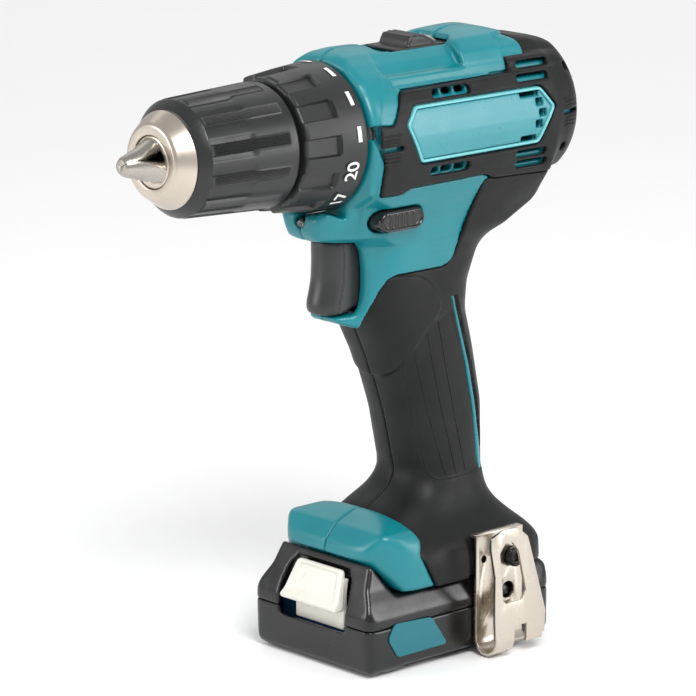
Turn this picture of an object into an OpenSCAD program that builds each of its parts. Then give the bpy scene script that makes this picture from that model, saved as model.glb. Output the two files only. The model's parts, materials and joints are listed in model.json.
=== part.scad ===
// Cordless drill driver, 12 V class, with a slide-on battery.
// Frame: +Z up, the chuck points to -Y, +X is the drill's left-hand side as it is held.
// Origin: on the battery's bottom face, in the mid-plane, below the handle. Millimetres.

/* [Overall] */
// Height of the spindle axis over the battery's bottom face
axis_z = 183; // [182:0.5:184]
// Distance of the jaw tips in front of the origin
nose_y = 129; // [128:0.5:130]
// Half the width of the motor housing at the spindle axis
barrel_half_w = 27; // [26.5:0.5:28]
// Half the width of the foot and battery
foot_half_w = 30; // [29.5:0.5:30.5]

/* [Chuck] */
// Radius of the sleeve at its rear rim
sleeve_rear_r = 21.2; // [21:0.1:21.4]
// Number of scallops around the sleeve
sleeve_flutes = 12; // [6:1:16]
// Angle between a jaw and the spindle axis
jaw_tilt = 16; // [15:0.5:17]
// Radius of a jaw
jaw_r = 3.6; // [3.4:0.1:3.6]
// Length of a jaw
jaw_length = 27; // [24:1:28]

/* [Clutch and gears] */
// Radius of the torque ring at its rear rim
ring_rear_r = 25.3; // [25:0.1:25.6]
// Number of finger notches around the torque ring
ring_notches = 12; // [8:1:16]
// Teeth of each sun gear
sun_teeth = 12; // [12:6:12]
// Teeth of each planet gear
planet_teeth = 18; // [18:6:18]
// Module of the gear teeth
gear_module = 0.6; // [0.55:0.05:0.6]
// Turns of the clutch spring
clutch_turns = 4; // [3:1:6]

/* [Motor] */
// Radius of the motor can
motor_r = 18.2; // [17.5:0.1:18.2]
// Length of the motor can
motor_length = 50; // [48:1:50]

/* [Battery] */
// Length of the battery
battery_length = 86.6; // [86:0.2:86.6]
// Height of the battery case at its sides
battery_h = 27; // [26.5:0.5:27]
// Radius of one cell
cell_r = 9.1; // [9:0.1:9.2]
// Length of one cell
cell_length = 65; // [64:0.5:65]

/* [Belt clip] */
// Thickness of the clip's spring steel
clip_t = 1.2; // [1:0.1:1.4]
// Clear gap between the clip's two plates
clip_gap = 9; // [8:0.5:9]

/* [Hidden] */
$fn = 64;
eps = 0.01;
far = 200;
planet_step = 120;

// Fits between solids
running = 0.05;
gap = 0.35;

// Stations along the spindle axis, as y
cap_front_y = -nose_y + 12.4;
sleeve_front_y = cap_front_y + 6.2;
sleeve_rear_y = -70.4;
ring_front_y = -69;
ring_rear_y = -44.4;
housing_front_y = -43.6;
motor_front_y = -8;
motor_rear_y = motor_front_y + motor_length;
body_rear_y = 59;

// Jaws: each axis crosses the spindle axis here, behind the closed tips
jaw_cross_y = -nose_y - 5;
jaw_clear = 0.1;

// Gears
ring_teeth = sun_teeth + 2 * planet_teeth;
centre_d = gear_module * (sun_teeth + planet_teeth) / 2;
backlash = 0.16;
gear_front_y = -42;
gear_rear_y = -27;
gear_w = 8;

// Foot and battery, as z and y
foot_floor_z = battery_h + gap;
battery_front_y = -48.6;
battery_rear_y = battery_front_y + battery_length;
visor_floor_z = 38.4;
rail_half_w = 20.5;
rail_stem_half_w = 18;

// Belt clip: its front edge, its screw and the screw's radius
clip_y0 = 0;
clip_inner_x = foot_half_w + gap;
clip_y = 17;
clip_z = 32.3;
clip_hole_r = 2;

// Handle: a straight oval core, leaning back towards the foot
handle_lean = 10.5;
handle_mid = [0, 3.6, 84];
core_r = 12.6;
core_flat = 2.2;
wall = 2.2;
skin = 1.6;

// ---------------------------------------------------------------- helpers

// A solid of revolution about the spindle axis, from points [radius, y]
module turned(points) {
    translate([0, 0, axis_z]) rotate([-90, 0, 0]) rotate_extrude() polygon(points);
}

// A round bar along the spindle axis
module bar(r, y0, y1) {
    translate([0, y0, axis_z]) rotate([-90, 0, 0]) cylinder(h = y1 - y0, r = r);
}

// A ring along the spindle axis
module tube(r_out, r_in, y0, y1) {
    turned([[r_in, y0], [r_out, y0], [r_out, y1], [r_in, y1]]);
}

// A side outline [y, z] given thickness along X, from x0 to x1
module side_plate(x0, x1) {
    translate([x0, 0, 0]) rotate([90, 0, 90]) linear_extrude(x1 - x0) children();
}

// A front outline [x, z] given depth along Y, from y0 to y1
module front_plate(y0, y1) {
    translate([0, y1, 0]) rotate([90, 0, 0]) linear_extrude(y1 - y0) children();
}

// A round bar along X
module cross_bar(r, y, z, x0, x1) {
    translate([x0, y, z]) rotate([0, 90, 0]) cylinder(h = x1 - x0, r = r);
}

// A box from its lowest corner to its highest
module block(low, high) {
    translate(low) cube(high - low);
}

// One half of the drill: side 1 keeps +X, side -1 keeps -X
module half(side) {
    intersection() {
        children();
        translate([side > 0 ? 0 : -far, -far, -far]) cube([far, 2 * far, 3 * far]);
    }
}

// ---------------------------------------------------------------- outlines

// A half outline, given from X = 0 outwards, completed by its mirror image
module symmetric(right) {
    polygon(concat(right, [for (i = [len(right) - 1:-1:0]) [-right[i][0], right[i][1]]]));
}

// Front view of the housing, grown outwards by g
module section_outline(g = 0) {
    w = barrel_half_w + g;
    symmetric([[3 + g / 2, 214.4], [11 + g / 2, 212], [17.3 + g, 205.2], [21.8 + g, 199], [w - 1.2, 190],
        [w, 183], [w - 0.3, 175], [w - 2, 166], [21.8 + g, 158], [19.5 + g, 150], [18.3 + g, 140],
        [17.3 + g, 116]]);
}

// Plan of the housing around the trigger
module guard_plan() {
    symmetric([[4, -43.6], [7.6, -42.4], [9.4, -38], [12, -33], [16, -28.4], [20, -20], [30, -10], [30, 70]]);
}

// Plan of the housing below the collar
module nose_plan() {
    symmetric([[6, -53.6], [9, -51], [11.5, -46.5], [14.5, -42], [19, -36], [22, -31], [30, -22], [30, 70]]);
}

// Side view of the teal housing above the handle
module body_outline() {
    polygon([[housing_front_y, 156], [-52, 158.5], [-53, 152.5], [-49.5, 147.4], [-36.4, 147.4],
        [-33.6, 144], [-32.8, 138], [-32.8, 130], [-33.8, 124.4], [-35.6, 121.6], [-42.4, 121.4],
        [-43.2, 120.4], [-41.6, 119.4], [-36, 117.2], [-30, 116.4], [-27, 119.8], [13.4, 119.8], [15, 128],
        [19, 138], [27, 146.5], [38, 153], [48, 160], [body_rear_y, 168], [body_rear_y, 202.4],
        [53, 205.6], [46, 207.5], [38, 208.6], [30, 211.4], [24, 213.8], [20, 214.4], [15, 214.2],
        [9, 212.4], [5, 210.8], [-24, 211.6], [-36, 213], [-41, 210], [housing_front_y, 207]]);
}

// Side view of the lower edge of the teal, above the soft grip
module teal_outline() {
    polygon([[-60, 114], [-31, 114], [-30.4, 119.6], [-29.2, 124], [-28.6, 132], [-26.4, 134.6],
        [-20, 135.4], [-3, 135.4], [1.5, 137.6], [10, 166], [26, 170], [body_rear_y, 170],
        [body_rear_y, 230], [-60, 230]]);
}

// Side view of the teal that lies under the soft grip
module core_outline() {
    polygon([[-38, 156], [-31.2, 147], [-31, 126], [-25, 119], [11.4, 119], [13.2, 128.6], [17.4, 139.4],
        [26, 148.4], [37.2, 155], [47, 161.8], [56, 169], [56, 201], [51, 203.8], [44, 205.8], [36, 206.8],
        [-38, 207]]);
}

// Side view of the visor over the battery's front
module visor_outline() {
    polygon([[-70, 10], [-15.6, 10], [-15.6, 27.6], [-25.2, 40.6], [-24.4, 47], [-24.4, 60], [-70, 60]]);
}

// Side view of the soft side band that frames the badge
module band_outline() {
    polygon([[-27.5, 198.6], [70, 199.4], [70, 163], [37, 163.8], [12.6, 164.6], [9.4, 166.6], [-25, 166],
        [-29, 164.4], [-38.6, 164.6], [-38.4, 176], [-42.8, 184.6], [-42.8, 189], [-34.2, 188.6]]);
}

// Side view of the badge, grown outwards by g
module badge_outline(g = 0) {
    polygon([[-29.4 - g, 187.6], [-24 - g, 194 + g], [34.5 + g, 194 + g], [40 + g, 186],
        [32 + g, 174.4 - g], [-22.4 - g, 174 - g]]);
}

// An oval bar along the handle, r at its ends and centred on the handle
module handle_bar(r, z0, z1) {
    lean = tan(handle_lean);
    translate(handle_mid) rotate([handle_lean, 0, 0]) translate([0, 0, (z0 - handle_mid[2])])
        linear_extrude(z1 - z0) {
            translate([0, core_flat]) circle(r);
            translate([0, -core_flat]) circle(r);
            square([2 * r, 2 * core_flat], center = true);
        }
}

// Dome that closes the rear of the housing, grown outwards by g
module rear_dome(g = 0) {
    turned([[0, -60], [80, -60], [80, 20], [27.6 + g, 43], [26.4 + g, 50], [23.2 + g, 54.6 + g / 2],
        [18, 57 + g], [0, 58 + g]]);
}

// ---------------------------------------------------------------- housing

// Room that the nose and the trigger guard are kept within, seen in plan, below the round collar
module plan_limit() {
    nose_floor_z = 147.4;
    nose_top_z = 163.6;
    linear_extrude(nose_floor_z) guard_plan();
    translate([0, 0, nose_floor_z]) linear_extrude(nose_top_z - nose_floor_z) nose_plan();
    bar(27.4, housing_front_y, 0);
    block([-40, -60, nose_top_z], [40, 70, 230]);
}

// Outer shape of the motor housing and trigger guard
module upper_envelope() {
    intersection() {
        side_plate(-40, 40) body_outline();
        front_plate(-60, 70) section_outline();
        rear_dome(-1.2);
        plan_limit();
    }
}

// Outer shape of the two clamshells, thinner where the soft grip covers them, round parts grown by g
module shell_outer(g = 0) {
    intersection() {
        upper_envelope();
        side_plate(-40, 40) teal_outline();
    }
    intersection() {
        side_plate(-40, 40) core_outline();
        front_plate(-60, 70) section_outline(-skin);
        rear_dome(-1.2 - skin + g);
        plan_limit();
    }
    handle_bar(core_r + g, 42, 126);
    block([-11.7, -21, 112.6], [11.7, 10.7, 130]);
    foot_core();
}

// Teal core of the foot, under the soft grip, with the visor at its front
module foot_core() {
    intersection() {
        side_plate(-40, 40)
            polygon([[-31.4, foot_floor_z], [-14, foot_floor_z], [-14, 56], [-24, 51.6], [-37.5, 46.4],
                [-42.4, visor_floor_z], [-40.4, visor_floor_z]]);
        side_plate(-40, 40) visor_outline();
        front_plate(-60, 50)
            symmetric([[9, 54], [19, 50], [26.6, 44], [29.8, 38], [29.8, 20]]);
        linear_extrude(60)
            symmetric([[14, -42.6], [20, -41], [25, -36], [28.6, -29], [29.8, -24], [29.8, 40]]);
    }
    block([-27.4, -25, foot_floor_z], [27.4, 33.6, 36]);
    hull() {
        block([-27.4, -22, 34], [27.4, 33.6, 36]);
        block([-20, -18, 43], [20, 27, 44]);
    }
}

// Hollow inside the two clamshells, with ribs that hold the motor
module shell_inner() {
    turned([[0, -80], [20.9, -80], [20.9, -42], [23.4, -42], [23.4, -10], [18.4, -10],
        [18.4, -7], [23.4, -7], [23.4, 30], [18.4, 30], [18.4, 33], [22, 36], [19.5, 46],
        [14, 52], [0, 52]]);
    handle_bar(core_r - wall, 50, 121);
    block([-9.6, -29, 120.4], [9.6, 9.4, 149]);
    block([-7.9, -60, 121.5], [7.9, -28, 147.8]);
    block([-19, -14, 33], [19, 28.5, 41.4]);
    rail_channel();
}

// Channel that the battery's rail slides in
module rail_channel() {
    block([-rail_stem_half_w - gap, -60, 20], [rail_stem_half_w + gap, 30, 31]);
    block([-rail_half_w - gap, -60, 30.2], [rail_half_w + gap, 30, 34.4]);
}

// Screw positions, as [y, z, half the width of the boss]
screws = [[-41.3, 152.4, 13], [13.4, 150.6, 16], [-9.6, 112, 10.6], [-10, 38.6, 19], [33.6, 156.4, 15]];

// Screw bosses inside the hollow
module bosses() {
    for (s = screws) cross_bar(3.1, s[0], s[1], -s[2], s[2]);
}

// Holes for the screws: clearance on the right, thread core on the left
module screw_holes() {
    for (s = screws) {
        cross_bar(1.5, s[0], s[1], -40, s[2] - 2);
        cross_bar(2.85, s[0], s[1], -40, -s[2] + 3);
    }
}

// Slots through the sides for the motor's cooling air
module vents(side) {
    for (y = [-14, -8.2, -2.4], z = [196.2, 170.6])
        block([side > 0 ? 17 : -40, y, z - 1.1], [side > 0 ? 40 : -17, y + 4.6, z + 1.1]);
    for (z = [200.6, 196.4, 171.2, 167.6])
        block([side > 0 ? 15 : -40, 26, z - 0.9], [side > 0 ? 40 : -15, 40, z + 0.9]);
    for (z = [177.4, 181.4, 185.4, 189.4])
        block([side > 0 ? 20 : -40, 30, z - 1.2], [side > 0 ? 40 : -20, 33.4, z + 1.2]);
}

// Everything cut from both clamshells
module shell_cuts() {
    difference() {
        shell_inner();
        difference() {
            bosses();
            screw_holes();
        }
    }
    screw_holes();
    turned([[0, -60], [26.2, -60], [26.2, housing_front_y], [0, housing_front_y]]);
    lever_slot(gap);
    selector_pocket();
    lamp_socket();
    vents(1);
    vents(-1);
    clip_seat(1);
    clip_seat(-1);
}

module clamshell(side) {
    half(side) difference() {
        shell_outer();
        shell_cuts();
    }
}

module housing_left() {
    color([0.0, 0.53, 0.56]) clamshell(1);
}

module housing_right() {
    color([0.0, 0.5, 0.54]) clamshell(-1);
}

// One level slice of the soft grip: height z, from y0 to y1, w to each side, squarer as power grows
module grip_slice(z, y0, y1, w, power) {
    yr = (y1 - y0) / 2;
    function bulge(c) = sign(c) * pow(abs(c), 2 / power);
    translate([0, (y0 + y1) / 2, z]) linear_extrude(0.2)
        polygon([for (a = [0:12:348]) [w * bulge(cos(a)), yr * bulge(sin(a))]]);
}

// Slices from the foot up to the motor housing: z, y0, y1, half width, power
grip_slices = [[foot_floor_z, -30, 37.6, 30, 7], [38, -30, 36.6, 29.8, 6], [44, -26, 32, 26.8, 4],
    [48, -22.5, 29.4, 22.6, 3], [54, -13, 26.4, 18.4, 2.6], [62, -9.6, 24, 16.6, 2.5],
    [84, -15, 24, 16.3, 2.5], [104, -22, 20, 16.7, 2.5], [118, -28, 15.4, 17.4, 2.8],
    [128, -30.6, 16.4, 18, 3], [140, -28, 20.6, 18.2, 3], [152, -16, 36.6, 19.8, 3], [164, 4, 50, 24, 3]];

// Soft overmould of the handle and foot
module grip(side) {
    half(side) difference() {
        union() {
            for (i = [0:len(grip_slices) - 2]) hull() for (s = [grip_slices[i], grip_slices[i + 1]])
                grip_slice(s[0], s[1], s[2], s[3], s[4]);
            upper_envelope();
        }
        side_plate(-40, 40) teal_outline();
        side_plate(-40, 40) visor_outline();
        bumper_solid();
        shell_outer(running);
        block([-10.6, -40, 122.6], [10.6, -20, 149]);
        block([-40, -60, 120], [40, -28.1, 149]);
        block([-9.6, -29, 120.4], [9.6, 9.4, 149]);
        block([-7.9, -60, 121.5], [7.9, -28, 147.8]);
        rail_channel();
        clip_seat(1);
        clip_seat(-1);
        for (s = screws) cross_bar(2.85, s[0], s[1], -40, -s[2] + 3);
        vents(1);
        vents(-1);
        block([-40, -60, 156], [40, -30, 230]);
    }
}

module grip_left() {
    color([0.2, 0.21, 0.21]) grip(1);
}

module grip_right() {
    color([0.22, 0.23, 0.23]) grip(-1);
}

// Soft bumper over the rear of the housing and along its sides
module bumper_solid() {
    difference() {
        intersection() {
            front_plate(-60, 70) section_outline(1.2);
            rear_dome(0);
            union() {
                side_plate(-40, 40) band_outline();
                side_plate(-40, 40) polygon([[27, 225], [27, 170], [70, 170], [70, 225]]);
            }
            side_plate(-40, 40) polygon([[-60, 160], [80, 160], [80, 200], [59, 203.8], [53, 206.8],
                [46, 208.8], [38, 209.9], [27, 211.6], [-60, 211.6]]);
        }
        upper_envelope();
    }
}

module bumper(side) {
    half(side) difference() {
        bumper_solid();
        side_plate(-40, 40) badge_outline(0.15);
        vents(1);
        vents(-1);
        turned([[0, -80], [20.9, -80], [20.9, 40], [0, 40]]);
    }
}

module bumper_left() {
    color([0.2, 0.21, 0.21]) bumper(1);
}

module bumper_right() {
    color([0.22, 0.23, 0.23]) bumper(-1);
}

// Plain badge panel set into the side band
module badge(side) {
    half(side) difference() {
        intersection() {
            front_plate(-60, 70) section_outline(1);
            side_plate(-40, 40) badge_outline();
        }
        front_plate(-60, 70) section_outline(eps);
        vents(1);
        vents(-1);
    }
}

module badge_left() {
    color([0.25, 0.62, 0.65]) badge(1);
}

module badge_right() {
    color([0.25, 0.62, 0.65]) badge(-1);
}

module housing_screws() {
    color([0.55, 0.55, 0.55]) for (s = screws) difference() {
        union() {
            cross_bar(1.45, s[0], s[1], -s[2] + 2, s[2] - 3);
            cross_bar(2.7, s[0], s[1], -s[2] + 0.9, -s[2] + 2.9);
        }
        cross_bar(1.1, s[0], s[1], -s[2] - 1, -s[2] + 2);
    }
}

// ---------------------------------------------------------------- chuck

module chuck_body() {
    color([0.5, 0.5, 0.5]) difference() {
        turned([[0, cap_front_y + 1.6], [11.7, cap_front_y + 1.6], [13.6, sleeve_front_y],
            [14, -104], [14, -90], [17.2, -89], [17.2, -73], [9, -73], [9, -71.2], [0, -71.2]]);
        bar(5.2, -130, -88);
        bar(2.7, -90, -84);
        bar(4.8, -85, -60);
        for (i = [0:2]) jaw_place(i) jaw_axis() cylinder(h = 75, r = jaw_r + running);
    }
}

// Turns a jaw to its place around the spindle axis
module jaw_place(i) {
    translate([0, 0, axis_z]) rotate([0, planet_step * i, 0]) children();
}

// Puts a bar along a jaw's axis, from the point where it crosses the spindle axis
module jaw_axis() {
    translate([0, jaw_cross_y, 0]) rotate([jaw_tilt - 90, 0, 0]) children();
}

// One jaw, ground to a point and to two flats that meet its neighbours
module jaw(i) {
    half_w = 40;
    rise = half_w / sqrt(3);
    color([0.6, 0.6, 0.6]) jaw_place(i) intersection() {
        jaw_axis() cylinder(h = 5 / cos(jaw_tilt) + jaw_length, r = jaw_r);
        translate([0, -50, 0]) rotate([90, 0, 0]) linear_extrude(200, center = true)
            polygon([[0, jaw_clear], [half_w, jaw_clear + rise], [half_w, 60], [-half_w, 60],
                [-half_w, jaw_clear + rise]]);
        rotate([-90, 0, 0]) rotate_extrude()
            polygon([[0, -nose_y], [2.4, -nose_y], [3.3, -nose_y + 1.2], [5.2, -nose_y + 7],
                [8.2, -nose_y + 13], [40, -nose_y + 50], [40, 0], [0, 0]]);
    }
}

module jaw_1() {
    jaw(0);
}

module jaw_2() {
    jaw(1);
}

module jaw_3() {
    jaw(2);
}

// Threaded nut that drives the jaws, with a cone that follows them
module chuck_nut() {
    function flank_r(y) = (y - jaw_cross_y) * tan(jaw_tilt) + jaw_r / cos(jaw_tilt) + gap;
    color([0.7, 0.68, 0.6])
        turned([[flank_r(-98), -98], [17.85, -98], [17.85, -91.5], [flank_r(-91.5), -91.5]]);
}

module chuck_sleeve() {
    color([0.13, 0.13, 0.13]) difference() {
        turned([[14.6, sleeve_front_y], [16.7, sleeve_front_y], [19.4, sleeve_front_y + 3.2],
            [sleeve_rear_r, sleeve_rear_y - 1], [sleeve_rear_r - 0.5, sleeve_rear_y], [17.9, sleeve_rear_y],
            [17.9, -98], [14.6, -99.5]]);
        for (i = [0:sleeve_flutes - 1]) translate([0, 0, axis_z])
            rotate([0, i * 360 / sleeve_flutes, 0]) translate([0, -105, 23.6])
                rotate([-87.6, 0, 0]) cylinder(h = 29, r = 4.4);
    }
}

// Bright cap over the chuck's nose
module nose_cap() {
    color([0.78, 0.76, 0.72]) turned([[8.9, cap_front_y], [12, cap_front_y], [12.8, cap_front_y + 0.7],
        [16.4, sleeve_front_y - 0.2], [14.5, sleeve_front_y - 0.2], [14.5, sleeve_front_y + 5],
        [14.1, sleeve_front_y + 5], [13.95, sleeve_front_y], [12.4, cap_front_y + 1.2],
        [8.9, cap_front_y + 1.2]]);
}

module chuck_screw() {
    color([0.3, 0.3, 0.3]) difference() {
        union() {
            bar(2.5, -88, -76);
            bar(4.4, -91, -88);
        }
        bar(1.6, -92, -89);
    }
}

module spindle() {
    color([0.6, 0.6, 0.6]) difference() {
        union() {
            bar(4.75, -83.5, -66);
            bar(5.95, -70.8, -53);
            bar(4.9, -53, gear_front_y - 3.6);
        }
        bar(2.55, -84, -75);
    }
}

// ---------------------------------------------------------------- clutch and gearbox

module torque_ring() {
    color([0.15, 0.15, 0.15]) difference() {
        turned([[14, ring_front_y], [22.4, ring_front_y], [23.3, ring_front_y + 1],
            [24.2, ring_front_y + 11], [ring_rear_r, ring_rear_y - 2], [ring_rear_r, ring_rear_y],
            [21, ring_rear_y], [21, ring_front_y + 2.4], [14, ring_front_y + 2.4]]);
        for (i = [0:ring_notches - 1]) translate([0, 0, axis_z])
            rotate([0, (i + 0.9) * 360 / ring_notches, 0])
                block([-3.1, ring_front_y - 1, 22.3], [3.1, ring_front_y + 10.5, 30]);
    }
}

// Nut that sets the clutch spring's load
module adjusting_nut() {
    color([0.5, 0.48, 0.42]) difference() {
        tube(20.6, 11, -64.6, -61.8);
        for (a = [0, 90]) translate([0, -63, axis_z]) rotate([0, a, 0])
            for (s = [1, -1]) translate([s * 21, 0, 0]) cube([2, 6, 4], center = true);
    }
}

// Closed coil: rings of wire joined by a helix of short links
module clutch_spring() {
    wire_r = 0.8;
    coil_r = 14.5;
    y0 = -60.4;
    pitch = 1.75;
    steps = 24;
    sides = 8;
    rings = clutch_turns * steps;
    function ring_points(k) = let (a = 360 * k / steps, y = y0 + pitch * k / steps) [
        for (s = [0:sides - 1]) let (b = 360 * s / sides, r = coil_r + wire_r * cos(b))
            [r * cos(a), y + wire_r * sin(b), axis_z + r * sin(a)]];
    points = [for (k = [0:rings]) each ring_points(k)];
    walls = [for (k = [0:rings - 1], s = [0:sides - 1]) let (t = (s + 1) % sides)
        [k * sides + s, k * sides + t, (k + 1) * sides + t, (k + 1) * sides + s]];
    front = [for (s = [sides - 1:-1:0]) s];
    back = [for (s = [0:sides - 1]) rings * sides + s];
    color([0.65, 0.65, 0.66]) polyhedron(points, concat(walls, [front, back]), convexity = 8);
}

module gear_case() {
    color([0.62, 0.63, 0.64]) difference() {
        turned([[8.05, -66], [10.7, -66], [10.7, -52.4], [20.2, -52.4], [20.2, -41.6],
            [23, -41.6], [23, -37], [20.2, -37], [20.2, -14.6], [17.4, -14.6], [17.4, -49.6],
            [6.4, -49.6], [6.4, -54.4], [8.05, -54.4]]);
        translate([-2.2, -34, axis_z]) cube([4.4, 22, 30]);
    }
}

module front_bearing() {
    color([0.75, 0.75, 0.76]) difference() {
        tube(8, 6, -65, -55);
        tube(7.3, 6.7, -66, -64.4);
        tube(7.3, 6.7, -55.6, -54);
    }
}

// Involute tooth outline of a spur gear centred on the origin
function inv_point(rb, t) = let (d = t * 180 / PI) [rb * (cos(d) + t * sin(d)), rb * (sin(d) - t * cos(d))];
function polar(p) = [norm(p), atan2(p[1], p[0])];

module gear_outline(teeth, m, slack, add = 1, ded = 1.2) {
    rp = m * teeth / 2;
    rb = rp * cos(20);
    ra = rp + m * add;
    rr = rp - m * ded;
    t_start = sqrt(max(0, pow(rr / rb, 2) - 1));
    t_end = sqrt(pow(ra / rb, 2) - 1);
    pitch_a = polar(inv_point(rb, sqrt(pow(rp / rb, 2) - 1)))[1];
    half_a = 90 / teeth - (slack / rp) * 90 / PI;
    flank = [for (k = [0:3]) let (p = polar(inv_point(rb, t_start + (t_end - t_start) * k / 3)))
        [p[0], p[1] - pitch_a - half_a]];
    root_a = flank[0][1];
    tooth = concat([[rr - eps, root_a]], flank, [for (k = [3:-1:0]) [flank[k][0], -flank[k][1]]],
        [[rr - eps, -root_a]]);
    polygon([for (i = [0:teeth - 1], p = tooth)
        [p[0] * cos(p[1] + 360 * i / teeth), p[0] * sin(p[1] + 360 * i / teeth)]]);
}

// A spur gear about the spindle axis, its tooth turned to angle a
module gear(teeth, y0, w, a) {
    translate([0, y0, axis_z]) rotate([-90, 0, 0]) rotate([0, 0, a]) linear_extrude(w)
        gear_outline(teeth, gear_module, backlash);
}

// A planet gear on its pin
module planet(i, y0) {
    turn = planet_step * i;
    // The tooth gap faces the sun's tooth on the line of centres
    phase = turn * (1 + sun_teeth / planet_teeth) + 180 / planet_teeth + 180;
    color([0.55, 0.54, 0.5]) difference() {
        translate([0, y0, axis_z]) rotate([-90, 0, 0])
            translate([centre_d * cos(turn), centre_d * sin(turn), 0])
            rotate([0, 0, phase]) linear_extrude(gear_w) gear_outline(planet_teeth, gear_module, backlash);
        planet_hole(turn, y0 - 1, gear_w + 2, 1.55);
    }
}

module planet_hole(turn, y0, length, r) {
    translate([0, y0, axis_z]) rotate([-90, 0, 0]) translate([centre_d * cos(turn), centre_d * sin(turn), 0])
        cylinder(h = length, r = r);
}

module planet_front_1() {
    planet(0, gear_front_y);
}

module planet_front_2() {
    planet(1, gear_front_y);
}

module planet_front_3() {
    planet(2, gear_front_y);
}

module planet_rear_1() {
    planet(0, gear_rear_y);
}

module planet_rear_2() {
    planet(1, gear_rear_y);
}

module planet_rear_3() {
    planet(2, gear_rear_y);
}

// Ring gear with teeth on its inside
module ring_gear(y0, w, r_out) {
    color([0.58, 0.57, 0.53]) difference() {
        tube(r_out, 10, y0, y0 + w);
        translate([0, y0 - 1, axis_z]) rotate([-90, 0, 0]) rotate([0, 0, 180 / ring_teeth])
            linear_extrude(w + 2) gear_outline(ring_teeth, gear_module, -backlash, 1.25, 0.9);
    }
}

module ring_gear_front() {
    ring_gear(gear_front_y - 0.5, gear_w + 1, 17.35);
}

module ring_gear_shift() {
    difference() {
        ring_gear(gear_rear_y - 0.8, gear_w + 3, 17.1);
        tube(18, 16.4, gear_rear_y + 3.2, gear_rear_y + 4.8);
    }
}

// Front carrier: a disc on the spindle with three pins
module carrier_front() {
    color([0.5, 0.5, 0.5]) {
        tube(13, 4.95, gear_front_y - 3.4, gear_front_y - 0.6);
        for (i = [0:2]) planet_hole(planet_step * i, gear_front_y - 2, gear_w + 2, 1.5);
    }
}

// Rear carrier: a disc with three pins and the front stage's sun gear
module carrier_rear() {
    color([0.5, 0.5, 0.5]) {
        tube(13, 0, gear_rear_y - 3.4, gear_rear_y - 0.6);
        for (i = [0:2]) planet_hole(planet_step * i, gear_rear_y - 2, gear_w + 2, 1.5);
        gear(sun_teeth, gear_front_y, gear_rear_y - gear_front_y - 2, 0);
    }
}

module pinion() {
    color([0.6, 0.58, 0.5]) difference() {
        gear(sun_teeth, gear_rear_y, gear_w + 4, 0);
        bar(1.2, gear_rear_y - 1, gear_rear_y + gear_w + 5);
    }
}

// ---------------------------------------------------------------- motor

module motor_can() {
    color([0.72, 0.72, 0.73]) difference() {
        turned([[4, motor_front_y - 3], [6, motor_front_y - 3], [6, motor_front_y], [motor_r, motor_front_y],
            [motor_r, motor_rear_y], [16.6, motor_rear_y], [16.6, motor_front_y + 1.6],
            [4, motor_front_y + 1.6]]);
        for (a = [0:72:359]) translate([0, 0, axis_z]) rotate([0, a, 0])
            block([-2.4, motor_front_y - 1, 9], [2.4, motor_front_y + 3, 14]);
    }
}

module motor_end_bell() {
    color([0.85, 0.85, 0.82]) difference() {
        turned([[3, motor_rear_y - 2.6], [16.5, motor_rear_y - 2.6], [16.5, motor_rear_y + 0.2],
            [17.6, motor_rear_y + 0.2], [17.6, motor_rear_y + 2.2], [6.4, motor_rear_y + 2.2],
            [6.4, motor_rear_y + 5], [3, motor_rear_y + 5]]);
        for (s = [1, -1]) translate([s * 12, motor_rear_y, axis_z]) cube([4, 9, 6], center = true);
    }
}

module rotor() {
    color([0.35, 0.3, 0.28]) {
        bar(1.15, gear_rear_y + 0.5, motor_rear_y + 4);
        difference() {
            bar(14.6, motor_front_y + 6, motor_rear_y - 20);
            for (a = [0:36:359]) translate([0, 0, axis_z]) rotate([0, a, 0])
                block([-1, motor_front_y, 9], [1, motor_rear_y, 20]);
            bar(1.1, -40, 60);
        }
        difference() {
            bar(10, motor_front_y + 3.4, motor_rear_y - 14);
            bar(1.1, -40, 60);
        }
    }
}

module commutator() {
    color([0.75, 0.45, 0.25]) tube(5, 1.16, motor_rear_y - 13, motor_rear_y - 4);
}

module brush_holders() {
    color([0.78, 0.66, 0.3]) for (s = [1, -1])
        block([s > 0 ? 5.2 : -13, motor_rear_y - 11, axis_z - 2.5],
            [s > 0 ? 13 : -5.2, motor_rear_y - 5, axis_z + 2.5]);
}

// ---------------------------------------------------------------- controls

// Pocket in the hood that the speed selector slides in
module selector_pocket() {
    block([-8.5, -20, 208.3], [8.5, 14, 210]);
    block([-8.5, -25, 209.6], [8.5, 8.4, 220]);
    block([-3.2, -27, 200], [3.2, -2, 207.4]);
    block([-3.2, -12, 206], [3.2, 4, 215]);
}

module speed_selector() {
    color([0.1, 0.1, 0.1]) {
        block([-8, -16, 208.6], [8, 10, 209.6]);
        side_plate(-7.5, 7.5) polygon([[-10.8, 209.5], [-10.2, 211.6], [-8.9, 213.6], [-5, 213.8],
            [-2.2, 213.2], [1.7, 211.2], [3.4, 209.5]]);
        block([-2, -8, 206.6], [2, -4, 208.6]);
    }
}

// Spring wire and pin that carry the selector's motion to the shift ring gear
module shift_fork() {
    fork_y = gear_rear_y + 4;
    color([0.7, 0.7, 0.7]) {
        block([-1.6, fork_y - 0.7, axis_z + 16.5], [1.6, fork_y + 0.7, axis_z + 21.2]);
        block([-1.6, fork_y - 0.7, axis_z + 21.2], [1.6, -4, 206.6]);
    }
}

module trigger() {
    color([0.16, 0.16, 0.16]) {
        side_plate(-7.4, 7.4) difference() {
            polygon([[-45, 147.2], [-30.5, 147.2], [-30.5, 124.6], [-41, 121.9], [-44.6, 122.2],
                [-47.4, 124.6], [-46.2, 129], [-45, 134], [-44.6, 139]]);
            translate([-64.6, 135.5]) circle(19);
        }
        block([-3, -30.5, 140], [3, -28, 144]);
    }
}

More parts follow.
